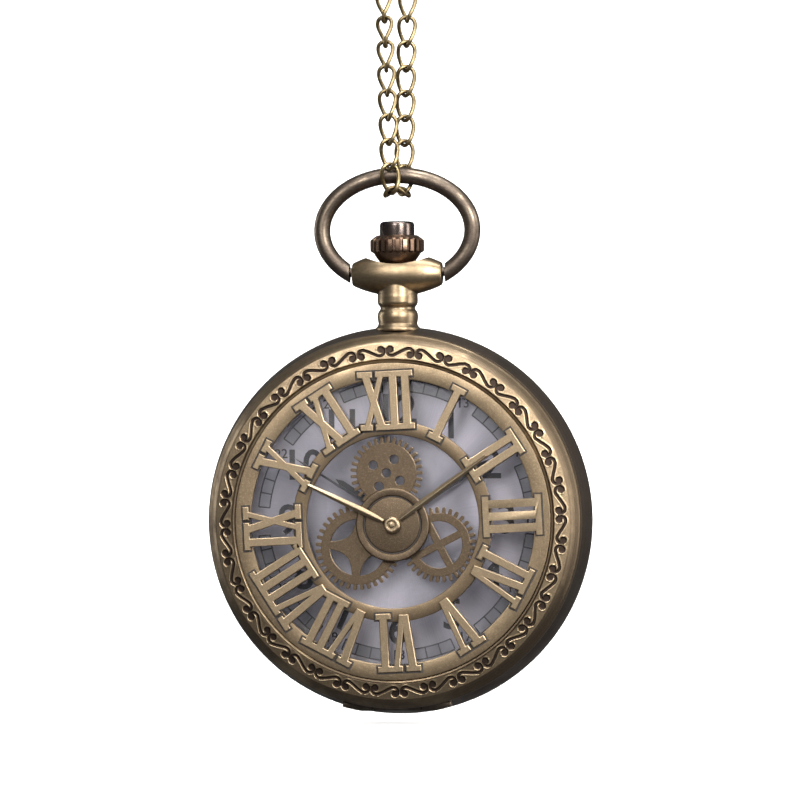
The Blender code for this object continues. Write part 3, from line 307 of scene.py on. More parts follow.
def meshFrom(points, faces, name="shape"):
    mesh = bpy.data.meshes.new(name)
    mesh.from_pydata(points, [], faces)
    return mesh


def tidyMesh(mesh, distance=1e-5):
    work = bmesh.new()
    work.from_mesh(mesh)
    bmesh.ops.remove_doubles(work, verts=work.verts, dist=distance)
    bmesh.ops.dissolve_degenerate(work, edges=work.edges, dist=distance)
    bmesh.ops.recalc_face_normals(work, faces=work.faces)
    work.to_mesh(mesh)
    work.free()
    return mesh


def rounded(profile, radius=0.08, parts=3):
    """A closed outline with every corner off the axis replaced by a short curve."""
    result = []
    count = len(profile)
    for i, point in enumerate(profile):
        here = Vector(point)
        before, after = Vector(profile[i - 1]) - here, Vector(profile[(i + 1) % count]) - here
        if here.x < 1e-6 or before.length < 1e-6 or after.length < 1e-6:
            result.append(tuple(here))
            continue
        reach = min(radius, before.length * 0.45, after.length * 0.45)
        start, end = here + before.normalized() * reach, here + after.normalized() * reach
        for k in range(parts + 1):
            t = k / parts
            result.append(tuple(start.lerp(here, t).lerp(here.lerp(end, t), t)))
    return result


def turned(profile, steps=192, closed=True):
    """Turns an outline of (radius, height) about z."""
    points, faces = [], []
    count = len(profile)
    for i in range(steps):
        angle = 2 * math.pi * i / steps
        points += [(r * math.cos(angle), r * math.sin(angle), z) for r, z in profile]
    for i in range(steps):
        a, b = i * count, (i + 1) % steps * count
        for k in range(count if closed else count - 1):
            n = (k + 1) % count
            if profile[k][0] < 1e-6 and profile[n][0] < 1e-6:
                continue
            faces.append((a + k, b + k, b + n, a + n))
    return tidyMesh(meshFrom(points, faces))


def boxMesh(low, high, matrix=None):
    work = bmesh.new()
    low, high = Vector(low), Vector(high)
    bmesh.ops.create_cube(work, size=1.0, matrix=Matrix.Translation((low + high) / 2) @ Matrix.Diagonal((*(high - low), 1.0)))
    mesh = bpy.data.meshes.new("box")
    work.to_mesh(mesh)
    work.free()
    if matrix is not None:
        mesh.transform(matrix)
    return mesh


def merged(meshes):
    work = bmesh.new()
    for mesh in meshes:
        work.from_mesh(mesh)
    result = bpy.data.meshes.new("merged")
    work.to_mesh(result)
    work.free()
    return result


def holdObject(mesh):
    obj = bpy.data.objects.new("work", mesh)
    bpy.context.scene.collection.objects.link(obj)
    return obj


def bakeObject(obj):
    """The evaluated shape as a plain mesh; the working object goes."""
    bpy.context.view_layer.update()
    mesh = bpy.data.meshes.new_from_object(obj.evaluated_get(bpy.context.evaluated_depsgraph_get()))
    bpy.data.objects.remove(obj, do_unlink=True)
    return mesh


def booleaned(mesh, tool, operation, selfOverlap=False):
    obj, cutter = holdObject(mesh), holdObject(tool)
    step = obj.modifiers.new("cut", "BOOLEAN")
    step.operation = operation
    step.solver = "EXACT"
    step.use_self = selfOverlap
    step.object = cutter
    result = bakeObject(obj)
    bpy.data.objects.remove(cutter, do_unlink=True)
    return result


def bevelled(mesh, width, segments=2, angle=30):
    obj = holdObject(mesh)
    flat = obj.modifiers.new("flat", "DECIMATE")
    flat.decimate_type = "DISSOLVE"
    flat.angle_limit = math.radians(1)
    step = obj.modifiers.new("edge", "BEVEL")
    step.width = width
    step.segments = segments
    step.limit_method = "ANGLE"
    step.angle_limit = math.radians(angle)
    step.use_clamp_overlap = True
    return bakeObject(obj)


def castSolid(meshes, voxel, rounds):
    """Fuses overlapping shapes into one cast body with soft fillets; sizes in millimetres."""
    obj = holdObject(merged(meshes))
    fuse = obj.modifiers.new("fuse", "REMESH")
    fuse.mode = "VOXEL"
    fuse.voxel_size = voxel
    soften = obj.modifiers.new("soften", "SMOOTH")
    soften.factor = 0.5
    soften.iterations = rounds
    return bakeObject(obj)


def newTree(name, inputs):
    """A geometry tree with a Geometry input and output and the named sizes."""
    tree = bpy.data.node_groups.new(name, "GeometryNodeTree")
    tree.interface.new_socket("Geometry", in_out="INPUT", socket_type="NodeSocketGeometry")
    tree.interface.new_socket("Geometry", in_out="OUTPUT", socket_type="NodeSocketGeometry")
    for label, (kind, value) in inputs.items():
        socket = tree.interface.new_socket(label, in_out="INPUT", socket_type="NodeSocket" + kind)
        if value is not None:
            socket.default_value = value
    source = tree.nodes.new("NodeGroupInput")
    return tree, source.outputs


def endTree(tree, geometry, look):
    """Realize Instances and Set Material close every tree."""
    real = addNode(tree, "GeometryNodeRealizeInstances", None, {"Geometry": geometry}).outputs[0]
    painted = addNode(tree, "GeometryNodeSetMaterial", None, {"Geometry": real, "Material": looks[look]}).outputs[0]
    tree.links.new(painted, tree.nodes.new("NodeGroupOutput").inputs[0])


def grow(mesh, tree, values):
    """Runs a geometry tree on a mesh and returns the plain result."""
    obj = holdObject(mesh)
    step = obj.modifiers.new("grow", "NODES")
    step.node_group = tree
    for item in tree.interface.items_tree:
        if item.in_out == "INPUT" and item.name in values:
            step[item.identifier] = values[item.name]
    return bakeObject(obj)


makeCamera()
print("camera and materials ready")


# repeated round an axis: the tree copies the incoming shape and turns each copy a step further
def ringTree(look):
    tree, source = newTree("aroundAxis", {"Count": ("Int", 12), "Turn": ("Float", 0.0), "Weld": ("Float", 0.001)})
    points = addNode(tree, "GeometryNodePoints", None, {"Count": source["Count"]}).outputs[0]
    index = addNode(tree, "GeometryNodeInputIndex").outputs[0]
    step = calc(tree, "DIVIDE", 2 * math.pi, source["Count"])
    angle = calc(tree, "ADD", source["Turn"], calc(tree, "MULTIPLY", index, step))
    turn = addNode(tree, "ShaderNodeCombineXYZ", None, {"Z": angle}).outputs[0]
    copies = addNode(tree, "GeometryNodeInstanceOnPoints", None,
                     {"Points": points, "Instance": source["Geometry"], "Rotation": turn}).outputs[0]
    real = addNode(tree, "GeometryNodeRealizeInstances", None, {"Geometry": copies}).outputs[0]
    welded = addNode(tree, "GeometryNodeMergeByDistance", None, {"Geometry": real, "Distance": source["Weld"]}).outputs[0]
    endTree(tree, welded, look)
    return tree


def aroundAxis(mesh, look, count, turn=0.0, weld=0.001):
    return grow(mesh, ringTree(look), {"Count": count, "Turn": turn, "Weld": weld})


def plate(outlines, low, high, edge=0.05):
    """Flat outlines thickened between two heights, with a narrow rounded edge; an inner outline is a hole."""
    curve = bpy.data.curves.new("plate", "CURVE")
    curve.dimensions = "2D"
    curve.fill_mode = "BOTH"
    curve.extrude = (high - low) / 2 - edge
    curve.bevel_depth = edge
    curve.bevel_resolution = 1
    curve.offset = -edge
    for outline in outlines:
        spline = curve.splines.new("POLY")
        spline.points.add(len(outline) - 1)
        for point, (x, y) in zip(spline.points, outline):
            point.co = (x, y, 0, 1)
        spline.use_cyclic_u = True
    mesh = bakeObject(holdObject(curve))
    mesh.transform(Matrix.Translation((0, 0, (low + high) / 2)))
    return tidyMesh(mesh)


def circlePoints(radius, count=32, x=0.0, y=0.0):
    turns = [2 * math.pi * i / count for i in range(count)]
    return [(x + radius * math.cos(t), y + radius * math.sin(t)) for t in turns]


def shifted(mesh, x=0.0, y=0.0, z=0.0, turn=0.0):
    mesh.transform(Matrix.Translation((x, y, z)) @ Matrix.Rotation(turn, 4, "Z"))
    return mesh


# cover: rim, engraved scroll border and the two rings
cover = {"ringIn": 17.2, "ringOut": 19.1, "scrollIn": 19.62, "scrollOut": 21.4, "front": 7.0, "drop": 0.35,
         "back": 6.1, "foot": 3.38, "rim": 22.6, "skirtIn": 21.4, "innerIn": 10.45, "innerOut": 12.1}
scrollSizes = {"cells": 36, "columns": 34, "rows": 30, "middle": 20.42, "first": math.radians(81.9),
               "dot": 0.40, "stroke": 0.15, "depth": 0.17, "lip": 0.09, "lipHeight": 0.04,
               "path": [(0.20, -0.30), (0.20, 0.05), (0.40, 0.36), (0.75, 0.47), (1.12, 0.36), (1.79, 0.0)],
               "eye": (0.56, -0.30)}


hinge = {"y": -22.1, "z": 3.35, "knuckle": 0.9, "middle": 5.8, "whole": 13.2, "clear": 0.1}


def knuckle(left, right, radius=0.88):
    outline = rounded([(0, right - left), (radius, right - left), (radius, 0), (0, 0)], 0.08)
    mesh = turned(outline, 48)
    mesh.transform(Matrix.Translation((left, hinge["y"], hinge["z"])) @ Matrix.Rotation(math.pi / 2, 4, "Y"))
    return mesh


def coverRim():
    c = cover
    outline = [(c["ringOut"] + 0.03, c["front"] - 0.35), (c["ringOut"] + 0.3, c["front"] - 0.32), (c["scrollIn"] - 0.02, c["front"] - 0.02),
               (c["scrollIn"] + 0.15, c["front"] - 0.5), (c["scrollOut"] - 0.15, c["front"] - 0.75),
               (c["scrollOut"] - 0.1, c["front"] - c["drop"] - 0.06), (c["scrollOut"] + 0.02, c["front"] - c["drop"] - 0.03),
               (21.65, 6.42), (21.95, 6.08), (22.2, 5.72), (22.38, 5.45), (22.52, 5.3), (22.6, 5.05),
               (22.6, 4.62), (22.48, 4.42), (22.48, 4.2), (22.6, 4.05), (22.6, c["foot"] + 0.14), (22.5, c["foot"]),
               (c["skirtIn"], c["foot"]), (c["skirtIn"], c["back"]), (c["ringOut"] + 0.03, c["back"])]
    rim, h = turned(rounded(outline, 0.09), 240), hinge
    for side in (-1, 1):
        ends = sorted((side * h["middle"] / 2, side * (h["whole"] / 2 + h["clear"])))
        rim = booleaned(rim, knuckle(*ends, h["knuckle"] + h["clear"]), "DIFFERENCE")
    piece = addPiece("coverRim", rim, "rim", "cover", dialSpace, 50)
    rings = [(c["ringIn"], c["ringOut"], c["front"], 240, "cast"), (c["innerIn"], c["innerOut"], c["front"] - 0.1, 160, "inner")]
    for number, (inner, outer, front, steps, look) in enumerate(rings):
        outline = [(inner, front), (outer, front), (outer, c["back"] + 0.02), (inner, c["back"] + 0.02)]
        addPiece(f"coverRing{number}", turned(rounded(outline, 0.12), steps), look, "cover", dialSpace)
    # a dark ring down in the slit between the ring and the rim: painted shade
    groove = [(c["ringOut"] - 0.3, 6.3), (c["ringOut"] + 0.4, 6.3), (c["ringOut"] + 0.4, 6.2), (c["ringOut"] - 0.3, 6.2)]
    addPiece("ringGroove", turned(groove, 160), "paintedShade", "cover", dialSpace)
    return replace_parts(piece, "cover_frame")


def smoothPath(points, parts=6):
    """Catmull-Rom through the points."""
    result = []
    ends = [points[0]] + points + [points[-1]]
    for i in range(1, len(ends) - 2):
        p0, p1, p2, p3 = (Vector(p) for p in ends[i - 1:i + 3])
        for k in range(parts):
            t = k / parts
            result.append(0.5 * (2 * p1 + (p2 - p0) * t + (2 * p0 - 5 * p1 + 4 * p2 - p3) * t * t
                                 + (3 * p1 - p0 - 3 * p2 + p3) * t ** 3))
    return result + [Vector(points[-1])]


def scrollBorder():
    """One scroll of the border as a sunk drawing on a fine grid; every second one is mirrored."""
    s, c = scrollSizes, cover
    step = 2 * math.pi / s["cells"]
    half = smoothPath(s["path"])
    width = step * s["middle"]
    path = half + [Vector((width - p.x, -p.y)) for p in reversed(half)]
    eyes = [Vector(s["eye"]), Vector((width - s["eye"][0], -s["eye"][1]))]
    points, faces, relief, lips = [], [], [], []
    for mirror in (False, True):
        base = len(points)
        for i in range(s["columns"] + 1):
            for k in range(s["rows"] + 1):
                u = width * i / s["columns"]
                radius = c["scrollIn"] + (c["scrollOut"] - c["scrollIn"]) * k / s["rows"]
                at = Vector((width - u if mirror else u, radius - s["middle"]))
                near = min((at - p).length for p in path) - s["stroke"]
                near = min([near] + [(at - e).length - s["dot"] for e in eyes])
                deep = 1 - min(max((near + 0.06) / 0.12, 0), 1)
                lip = max(0.0, 1 - abs(near - 0.10) / s["lip"])
                angle = u / s["middle"] + (step if mirror else 0)
                high = c["front"] - c["drop"] * k / s["rows"] - deep * s["depth"] + lip * s["lipHeight"]
                points.append((radius * math.cos(angle), radius * math.sin(angle), high))
                relief.append(deep)
                lips.append(lip * 0.4)
        rows = s["rows"] + 1
        for i in range(s["columns"]):
            for k in range(s["rows"]):
                a = base + i * rows + k
                faces.append((a, a + 1, a + rows + 1, a + rows))
    mesh = meshFrom(points, faces)
    for name, values in (("relief", relief), ("lip", lips)):
        layer = mesh.attributes.new(name, "FLOAT", "POINT")
        layer.data.foreach_set("value", values)
    mesh = aroundAxis(mesh, "scroll", s["cells"] // 2, s["first"])
    work = bmesh.new()
    work.from_mesh(mesh)
    if sum(face.normal.z for face in work.faces) < 0:
        bmesh.ops.reverse_faces(work, faces=work.faces)
    work.to_mesh(mesh)
    work.free()
    return addPiece("scrollBorder", mesh, "scroll", "cover", dialSpace, 60)


# numerals: straight strokes with serifs, one casting each
numeralSizes = {"turn": math.radians(2.5), "inner": 11.0, "outer": 18.1, "low": 6.25, "high": 7.3, "bar": 0.98, "thin": 0.72,
                "gap": 0.50, "letter": 2.9, "serif": 0.75, "reach": 0.45, "split": 0.34, "edge": 0.09, "shadow": 0.2}
numeralTexts = ["XII", "I", "II", "III", "IV", "V", "VI", "VII", "VIII", "IX", "X", "XI"]


def numeralStrokes(text):
    n = numeralSizes
    advance = {"I": n["bar"], "V": n["letter"], "X": n["letter"]}
    strokes, x = [], -(sum(advance[c] for c in text) + n["gap"] * (len(text) - 1)) / 2
    for letter in text:
        w = advance[letter]
        left, right, middle = x + n["bar"] / 2, x + w - n["thin"] / 2, x + w / 2
        if letter == "I":
            strokes.append((middle, middle, n["bar"]))
        elif letter == "V":
            strokes += [(middle - 0.15, left, n["bar"]), (middle + 0.15, right, n["thin"])]
        else:
            strokes += [(right - 0.15, left, n["bar"]), (left, right, n["thin"])]
        x += w + n["gap"]
    return strokes


def serifSpans(text, strokes, end):
    """Serifs at one end as (left, right): neighbouring letters share one, the arms of an X or V don't."""
    n = numeralSizes
    groups, place = [], 0
    for letter in text:
        parts = strokes[place:place + (1 if letter == "I" else 2)]
        place += len(parts)
        ordered = sorted(parts, key=lambda stroke: stroke[end])
        if letter == "V" and end == 0:
            groups.append(None)
            continue
        for number, stroke in enumerate(ordered):
            span = [stroke[end] - stroke[2] / 2 - n["reach"], stroke[end] + stroke[2] / 2 + n["reach"]]
            if number == 0 and groups and groups[-1] is not None:
                groups[-1][1] = span[1]
            else:
                groups.append(span)
    spans = [span for span in groups if span is not None]
    for before, after in zip(spans, spans[1:]):
        if after[0] - before[1] < n["split"]:
            middle = (after[0] + before[1]) / 2
            before[1], after[0] = middle - n["split"] / 2, middle + n["split"] / 2
    return spans


def strokeBlock(low, high, foot, head, width, zLow, zHigh, turn):
    shape = Matrix(((width, head - foot, 0, (head + foot) / 2), (0, high - low, 0, (high + low) / 2),
                    (0, 0, zHigh - zLow, (zHigh + zLow) / 2), (0, 0, 0, 1)))
    return boxMesh((-0.5, -0.5, -0.5), (0.5, 0.5, 0.5), Matrix.Rotation(-turn, 4, "Z") @ shape)


def numerals():
    n = numeralSizes
    castings, shadows = [], []
    for hour, text in enumerate(numeralTexts):
        turn = hour * math.pi / 6 - n["turn"]
        strokes = numeralStrokes(text)
        blocks = [strokeBlock(n["inner"] + 0.2, n["outer"] - 0.2, foot, head, width, n["low"], n["high"], turn)
                  for foot, head, width in strokes]
        for inner, outer, end in ((n["inner"], n["inner"] + n["serif"], 0), (n["outer"] - n["serif"], n["outer"], 1)):
            for left, right in serifSpans(text, strokes, end):
                middle = (left + right) / 2
                blocks.append(strokeBlock(inner, outer, middle, middle, right - left, n["low"], n["high"], turn))
                # each serif gets a dark slab a little wider than it, just above the ring: a painted shadow beside the
                # raised numeral
                grown = n["shadow"]
                shadows.append(strokeBlock(inner - grown, outer + grown, middle, middle, right - left + 2 * grown,
                                           6.5, cover["front"] - 0.1 * (end == 0) + 0.012, turn))
        body = blocks[0]
        for block in blocks[1:]:
            body = booleaned(body, block, "UNION")
        castings.append(bevelled(tidyMesh(body), n["edge"], 2))
    addPiece("numeralOutlines", merged(shadows), "paintedShade", "cover", dialSpace)
    return addPiece("numerals", merged(castings), "numeral", "cover", dialSpace)


# decorative wheels behind the inner ring, with a disc, a cap and two fixed hands
wheelSizes = {"low": 5.58, "high": 6.08, "top": {"at": (-0.77, 5.82), "tip": 4.4, "root": 3.62, "teeth": 33, "turn": 0.0},
              "left": {"at": (-4.31, -3.13), "tip": 5.15, "root": 4.45, "teeth": 36, "turn": math.radians(-5)},
              "right": {"at": (5.52, -2.84), "tip": 4.55, "root": 3.8, "teeth": 33, "turn": math.radians(27)}}


def lensWindows(radius):
    windows = []
    for quarter in range(4):
        middle, wide = math.pi / 4 + quarter * math.pi / 2, math.radians(37)
        outer = [(radius * math.cos(middle + wide * (i / 8 - 1)), radius * math.sin(middle + wide * (i / 8 - 1)))
                 for i in range(17)]
        ends, inward = (Vector(outer[-1]), Vector(outer[0])), Vector((math.cos(middle), math.sin(middle))) * radius * 0.28
        inner = [tuple(ends[0].lerp(ends[1], i / 14) - inward * math.sin(math.pi * i / 14)) for i in range(1, 14)]
        windows.append(outer + inner)
    return windows


def crossWindows(radius, half):
    windows, inset = [], math.asin(half / radius)
    for quarter in range(4):
        start, corner = quarter * math.pi / 2, quarter * math.pi / 2 + math.pi / 4
        arc = [start + inset + (math.pi / 2 - 2 * inset) * i / 12 for i in range(13)]
        windows.append([(half * math.sqrt(2) * math.cos(corner), half * math.sqrt(2) * math.sin(corner))]
                       + [(radius * math.cos(a), radius * math.sin(a)) for a in arc])
    return windows


def toothedWheel(name, key, windows):
    w, z = wheelSizes[key], wheelSizes
    disc = plate([circlePoints(w["root"] + 0.03, 96)] + windows, z["low"], z["high"], 0.05)
    pitch = 2 * math.pi / w["teeth"]
    tooth = [(r * math.cos(a * pitch), r * math.sin(a * pitch))
             for r, a in ((w["root"] - 0.15, -0.32), (w["tip"] - 0.12, -0.25), (w["tip"], -0.12), (w["tip"], 0.12), (w["tip"] - 0.12, 0.25),
                          (w["root"] - 0.15, 0.32))]
    teeth = aroundAxis(plate([tooth], z["low"] + 0.02, z["high"] - 0.02, 0.04), "wheel", w["teeth"], 0.0, 0.00001)
    mesh = shifted(merged([disc, teeth]), *w["at"], 0, w["turn"])
    piece = addPiece(key + "Wheel", mesh, "wheel", "cover", dialSpace)
    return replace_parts(piece, name)


def ridgedHand(name, node, length, heading):
    """A slim hand with a raised spine, its blade widest a third of the way out."""
    low, high, start = 7.34, 7.64, 1.15
    half = [(start, 0.2), (length * 0.2, 0.34), (length * 0.35, 0.42), (length * 0.7, 0.33), (length - 0.2, 0.2), (length, 0.02)]
    points, faces = [], []
    for y, w in half:
        points += [(-w, y, low), (-w, y, low + 0.1), (-w * 0.12, y, high), (w * 0.12, y, high), (w, y, low + 0.1), (w, y, low)]
    for i in range(len(half) - 1):
        for k in range(6):
            n = (k + 1) % 6
            faces.append((i * 6 + k, i * 6 + n, i * 6 + 6 + n, i * 6 + 6 + k))
    faces += [tuple(range(5, -1, -1)), tuple(range(len(points) - 6, len(points)))]
    mesh = shifted(tidyMesh(meshFrom(points, faces)), 0, -0.4, 0, -math.radians(heading))
    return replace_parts(addPiece(name, mesh, "numeral", "cover", dialSpace), node)


def coverCentre():
    holes = [circlePoints(0.55, 24)] + [circlePoints(0.55, 24, 1.87 * math.cos(math.radians(d)), 1.87 * math.sin(math.radians(d)))
                                        for d in (60, 150, 240, 330)]
    toothedWheel("gear_top", "top", holes)
    toothedWheel("gear_left", "left", lensWindows(3.4))
    toothedWheel("gear_right", "right", crossWindows(2.83, 0.45))
    disc = [(0, 6.9), (3.28, 6.9), (3.36, 6.8), (3.5, 6.8), (3.58, 6.98), (4.32, 7.0), (4.43, 6.9), (4.43, 6.12), (0, 6.12)]
    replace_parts(addPiece("centreDisc", shifted(turned(rounded(disc, 0.05), 128), 0, -0.4), "wheel", "cover",
                         dialSpace), "centre_disc")
    # a dark ring lying in the groove of the centre disc: painted shade
    groove = [(3.31, 6.815), (3.55, 6.815), (3.55, 6.78), (3.31, 6.78)]
    addPiece("discGroove", shifted(turned(groove, 128), 0, -0.4), "paintedShade", "cover", dialSpace)
    ridgedHand("decorHourHand", "decor_hour_hand", 11.4, 295.6)
    ridgedHand("decorMinuteHand", "decor_minute_hand", 14.2, 54.4)
    cap = [(0, 7.84), (0.30, 7.82), (0.34, 7.68), (0.5, 7.68), (0.56, 7.76), (0.8, 7.76), (1.0, 7.55), (1.0, 7.04), (0, 7.04)]
    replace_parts(addPiece("centreCap", shifted(turned(rounded(cap, 0.05), 64), 0, -0.4), "numeral", "cover",
                         dialSpace), "centre_cap")


coverRim()
scrollBorder()
print("cover rim and scrolls")
numerals()
print("numerals")
coverCentre()
print("wheels and centre")


# case: band, back and bezel, all turned
caseSizes = {"rim": 22.6, "bulge": 0.9, "front": 3.3, "back": -4.0, "cavity": 20.5, "ledge": 18.6, "steps": 240,
             "bore": 1.25}


def axisRod(radius, low, high, steps=48):
    return turned([(0, high), (radius, high), (radius, low), (0, low)], steps)


def caseBand():
    c, h = caseSizes, hinge
    bulge = [(c["rim"] + c["bulge"] * math.sin(math.pi * i / 24), c["front"] + (c["back"] - c["front"]) * i / 24) for i in range(25)]
    inner = [(c["cavity"], c["back"]), (c["cavity"], 2.5), (c["ledge"], 2.5), (c["ledge"], c["front"])]
    band = turned(bulge + inner, c["steps"])
    bore = axisRod(c["bore"], -3, 3)
    bore.transform(Matrix.Translation((0, c["rim"] - 0.1, 0)) @ Matrix.Rotation(-math.pi / 2, 4, "X"))
    band = booleaned(band, bore, "DIFFERENCE")
    slot = boxMesh((-1.15, 19.1, 2), (1.15, 20.7, 4.3))
    band = booleaned(band, slot, "DIFFERENCE")
    clear = knuckle(-h["middle"] / 2 - 0.08, h["middle"] / 2 + 0.08, h["knuckle"] + h["clear"])
    band = booleaned(band, clear, "DIFFERENCE")
    piece = addPiece("caseBand", band, "band", "case", dialSpace, 30)
    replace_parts(piece, "case_band")
    trim = turned([(26, c["front"] + 2), (23.38, c["front"] + 2), (23.38, c["front"] - 1.2), (26, c["front"] - 1.2)], 128)
    sides = []
    for left, right in ((-h["whole"] / 2, -h["middle"] / 2 - 0.1), (h["middle"] / 2 + 0.1, h["whole"] / 2)):
        sides.append(booleaned(knuckle(left, right), trim, "DIFFERENCE"))
    addPiece("bandKnuckles", merged(sides), "band", "case", dialSpace, 30)
    middle = booleaned(knuckle(-h["middle"] / 2, h["middle"] / 2), trim, "DIFFERENCE")
    addPiece("coverKnuckle", middle, "band", "cover", dialSpace, 30)


def backAndBezel():
    curve = [(17 + 5.6 * math.cos(math.pi / 2 * i / 20), -4.08 - 3.22 * math.sin(math.pi / 2 * i / 20)) for i in range(21)]
    step = [(14.6, -7.3), (14.5, -7.22), (14.3, -7.22), (14.2, -7.3)]
    back = [(20.45, -3.3), (20.45, -4.08)] + curve + step + [(0, -7.3), (0, -6.5), (17.0, -6.5), (19.65, -4.98), (19.65, -3.3)]
    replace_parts(addPiece("backCover", turned(back, 240), "rim", "case", dialSpace, 40), "back_cover")
    bezel = [(19.1, 5.5), (20.6, 5.5), (21.0, 5.0), (21.0, 3.34), (17.7, 3.34), (17.7, 4.36), (19.1, 4.36)]
    ring = booleaned(turned(rounded(bezel, 0.12), 192), boxMesh((-1.15, 19.1, 2), (1.15, 22, 6.5)), "DIFFERENCE")
    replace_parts(addPiece("bezelRing", ring, "dark", "case", dialSpace), "bezel_ring")
    glass = [(0, 5.4), (18.85, 5.4), (19.05, 5.2), (19.05, 4.4), (0, 4.4)]
    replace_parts(addPiece("crystal", turned(rounded(glass, 0.08), 160), "glass", "case", dialSpace), "crystal")


caseBand()
backAndBezel()
print("case")


# dial with its print, all raised a hair above the plate
dialSizes = {"face": 2.3, "lift": 0.012, "trackIn": 15.75, "trackOut": 16.95, "line": 0.16, "hours": 13.3, "hourSize": 5.1,
             "small": 16.3, "smallSize": 1.6, "notch": (1.2, 19.15)}


def flatBar(length, width):
    return meshFrom([(0, -width / 2, 0), (length, -width / 2, 0), (length, width / 2, 0), (0, width / 2, 0)], [(0, 1, 2, 3)])


def flatArc(inner, outer, start, end, steps=12):
    points, faces = [], []
    for i in range(steps + 1):
        a = start + (end - start) * i / steps
        points += [(inner * math.cos(a), inner * math.sin(a), 0), (outer * math.cos(a), outer * math.sin(a), 0)]
    for i in range(steps):
        faces.append((2 * i, 2 * i + 1, 2 * i + 3, 2 * i + 2))
    return meshFrom(points, faces)


def dialText(body, size, radius, turn, upright=True, thicken=0.0):
    curve = bpy.data.curves.new("digit", "FONT")
    curve.body = body
    curve.size = size
    curve.align_x = "CENTER"
    curve.align_y = "CENTER"
    curve.offset = thicken
    curve.resolution_u = 4
    mesh = bakeObject(holdObject(curve))
    place = Matrix.Translation((radius * math.sin(turn), radius * math.cos(turn), 0))
    if not upright:
        place = place @ Matrix.Rotation(-turn, 4, "Z")
    mesh.transform(place)
    return mesh


def dial():
    d = dialSizes
    face = turned(rounded([(1.1, d["face"]), (19.6, d["face"]), (19.6, 1.9), (1.1, 1.9)], 0.05), 192)
    notch = boxMesh((-1.2, 19.15, 0), (1.2, 21.5, 4))
    piece = addPiece("dialPlate", booleaned(face, notch, "DIFFERENCE"), "dial", "case", dialSpace)
    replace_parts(piece, "dial")
    low, high = math.radians(6), math.radians(24)
    line = [flatArc(d["trackIn"] - d["line"], d["trackIn"], low, high), flatArc(d["trackOut"], d["trackOut"] + d["line"], low, high)]
    for minute in range(1, 5):
        tick = shifted(flatBar(d["trackOut"] - d["trackIn"] + d["line"], d["line"]), d["trackIn"] - d["line"] / 2)
        tick.transform(Matrix.Rotation(math.radians(6 * minute), 4, "Z"))
        line.append(tick)
    print_ = [aroundAxis(merged(line), "print", 12, 0.0, 0.00001)]
    for hour in range(1, 13):
        turn = hour * math.pi / 6
        print_.append(dialText(str(hour), d["hourSize"], d["hours"], turn, True, 0.09))
        print_.append(dialText(str(hour + 12), d["smallSize"], d["small"], turn, True, 0.02))
    addPiece("dialPrint", shifted(merged(print_), 0, 0, d["face"] + d["lift"]), "print", "case", dialSpace)
    fill = aroundAxis(flatArc(d["trackIn"], d["trackOut"], low, high), "boxes", 12, 0.0, 0.00001)
    boxes = shifted(fill, 0, 0, d["face"] + d["lift"] / 2)
    addPiece("trackFill", boxes, "boxes", "case", dialSpace)


def dialHand(name, body, node, z, length, half, boss, bore, heading, look, thick=0.2):
    tail = boss + 1.2
    blade = [(-half * 0.7, -tail), (-half, 0.0), (-half * 0.8, length * 0.9), (0, length), (half * 0.8, length * 0.9),
             (half, 0.0), (half * 0.7, -tail)]
    hub = plate([circlePoints(boss, 48)] + ([circlePoints(bore, 32)] if bore else []), -thick / 2 - 0.01, thick / 2 + 0.01, 0.03)
    shape = plate([list(reversed(blade))], -thick / 2, thick / 2, 0.04)
    if bore:
        shape = booleaned(shape, axisRod(bore, -1, 1, 32), "DIFFERENCE")
    mesh = shifted(merged([shape, hub]), 0, 0, z, -math.radians(heading))
    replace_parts(addPiece(name, mesh, look, body, dialSpace), node)


dial()
dialHand("hourHand", "hour", "hour_hand", 2.85, 9.0, 0.45, 1.25, 0.99, 304.5, "enamel")
dialHand("minuteHand", "minute", "minute_hand", 3.35, 13.6, 0.38, 0.95, 0.64, 57.0, "enamel")
dialHand("secondHand", "second", "second_hand", 3.9, 14.6, 0.16, 0.6, 0, 302.0, "enamel", 0.16)
print("dial and hands")


# pendant: neck, saddle and crown dish fused as one casting, then bored
pendantSizes = {"pivot": 30.15, "saddle": 29.9, "dish": 6.8, "dishAt": 37.5, "bore": 1.25, "pinHole": 0.6,
                "voxel": 0.085, "rounds": 3}


def alongX(mesh, x=0.0, z=0.0):
    mesh.transform(Matrix.Translation((x, 0, z)) @ Matrix.Rotation(math.pi / 2, 4, "Y"))
    return mesh


def pendant():
    p = pendantSizes
    neck = [(0, p["pivot"]), (2.2, p["pivot"]), (2.4, 27.5), (2.46, 27.2), (2.46, 26.4), (2.36, 26.15), (2.13, 25.9),
            (2.13, 25.6), (2.36, 25.35), (2.46, 25.05), (2.49, 24.7), (2.43, 24.2), (2.36, 23.85), (2.5, 23.55), (2.75, 23.35), (2.75, 23.0), (0, 23.0)]
    steps = [5.42 - 10.84 * i / 40 for i in range(41)]
    saddle = [(0, 5.5), (1.25, 5.5)] + [(1.35 + 1.27 * (1 - (abs(x) / 5.5) ** 2.2), x) for x in steps] + [(1.25, -5.5), (0, -5.5)]
    body = castSolid([turned(neck, 96), alongX(turned(saddle, 96), 0, p["saddle"])], p["voxel"], p["rounds"])
    dish = [(p["dish"] * math.sin(math.pi * i / 64), p["dish"] * math.cos(math.pi * i / 64)) for i in range(65)]
    dish[0], dish[-1] = (0, p["dish"]), (0, -p["dish"])
    ball = turned(dish, 96)
    ball.transform(Matrix.Translation((0, 0, p["dishAt"])))
    body = booleaned(body, ball, "DIFFERENCE")
    body = booleaned(body, axisRod(p["bore"], 22, 34), "DIFFERENCE")
    for side in (-1, 1):
        body = booleaned(body, alongX(axisRod(p["pinHole"], -1.3, 1.3), side * 5.5, p["pivot"]), "DIFFERENCE")
    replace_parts(addPiece("pendantBody", body, "pendant", "case", stemSpace, 45), "pendant")


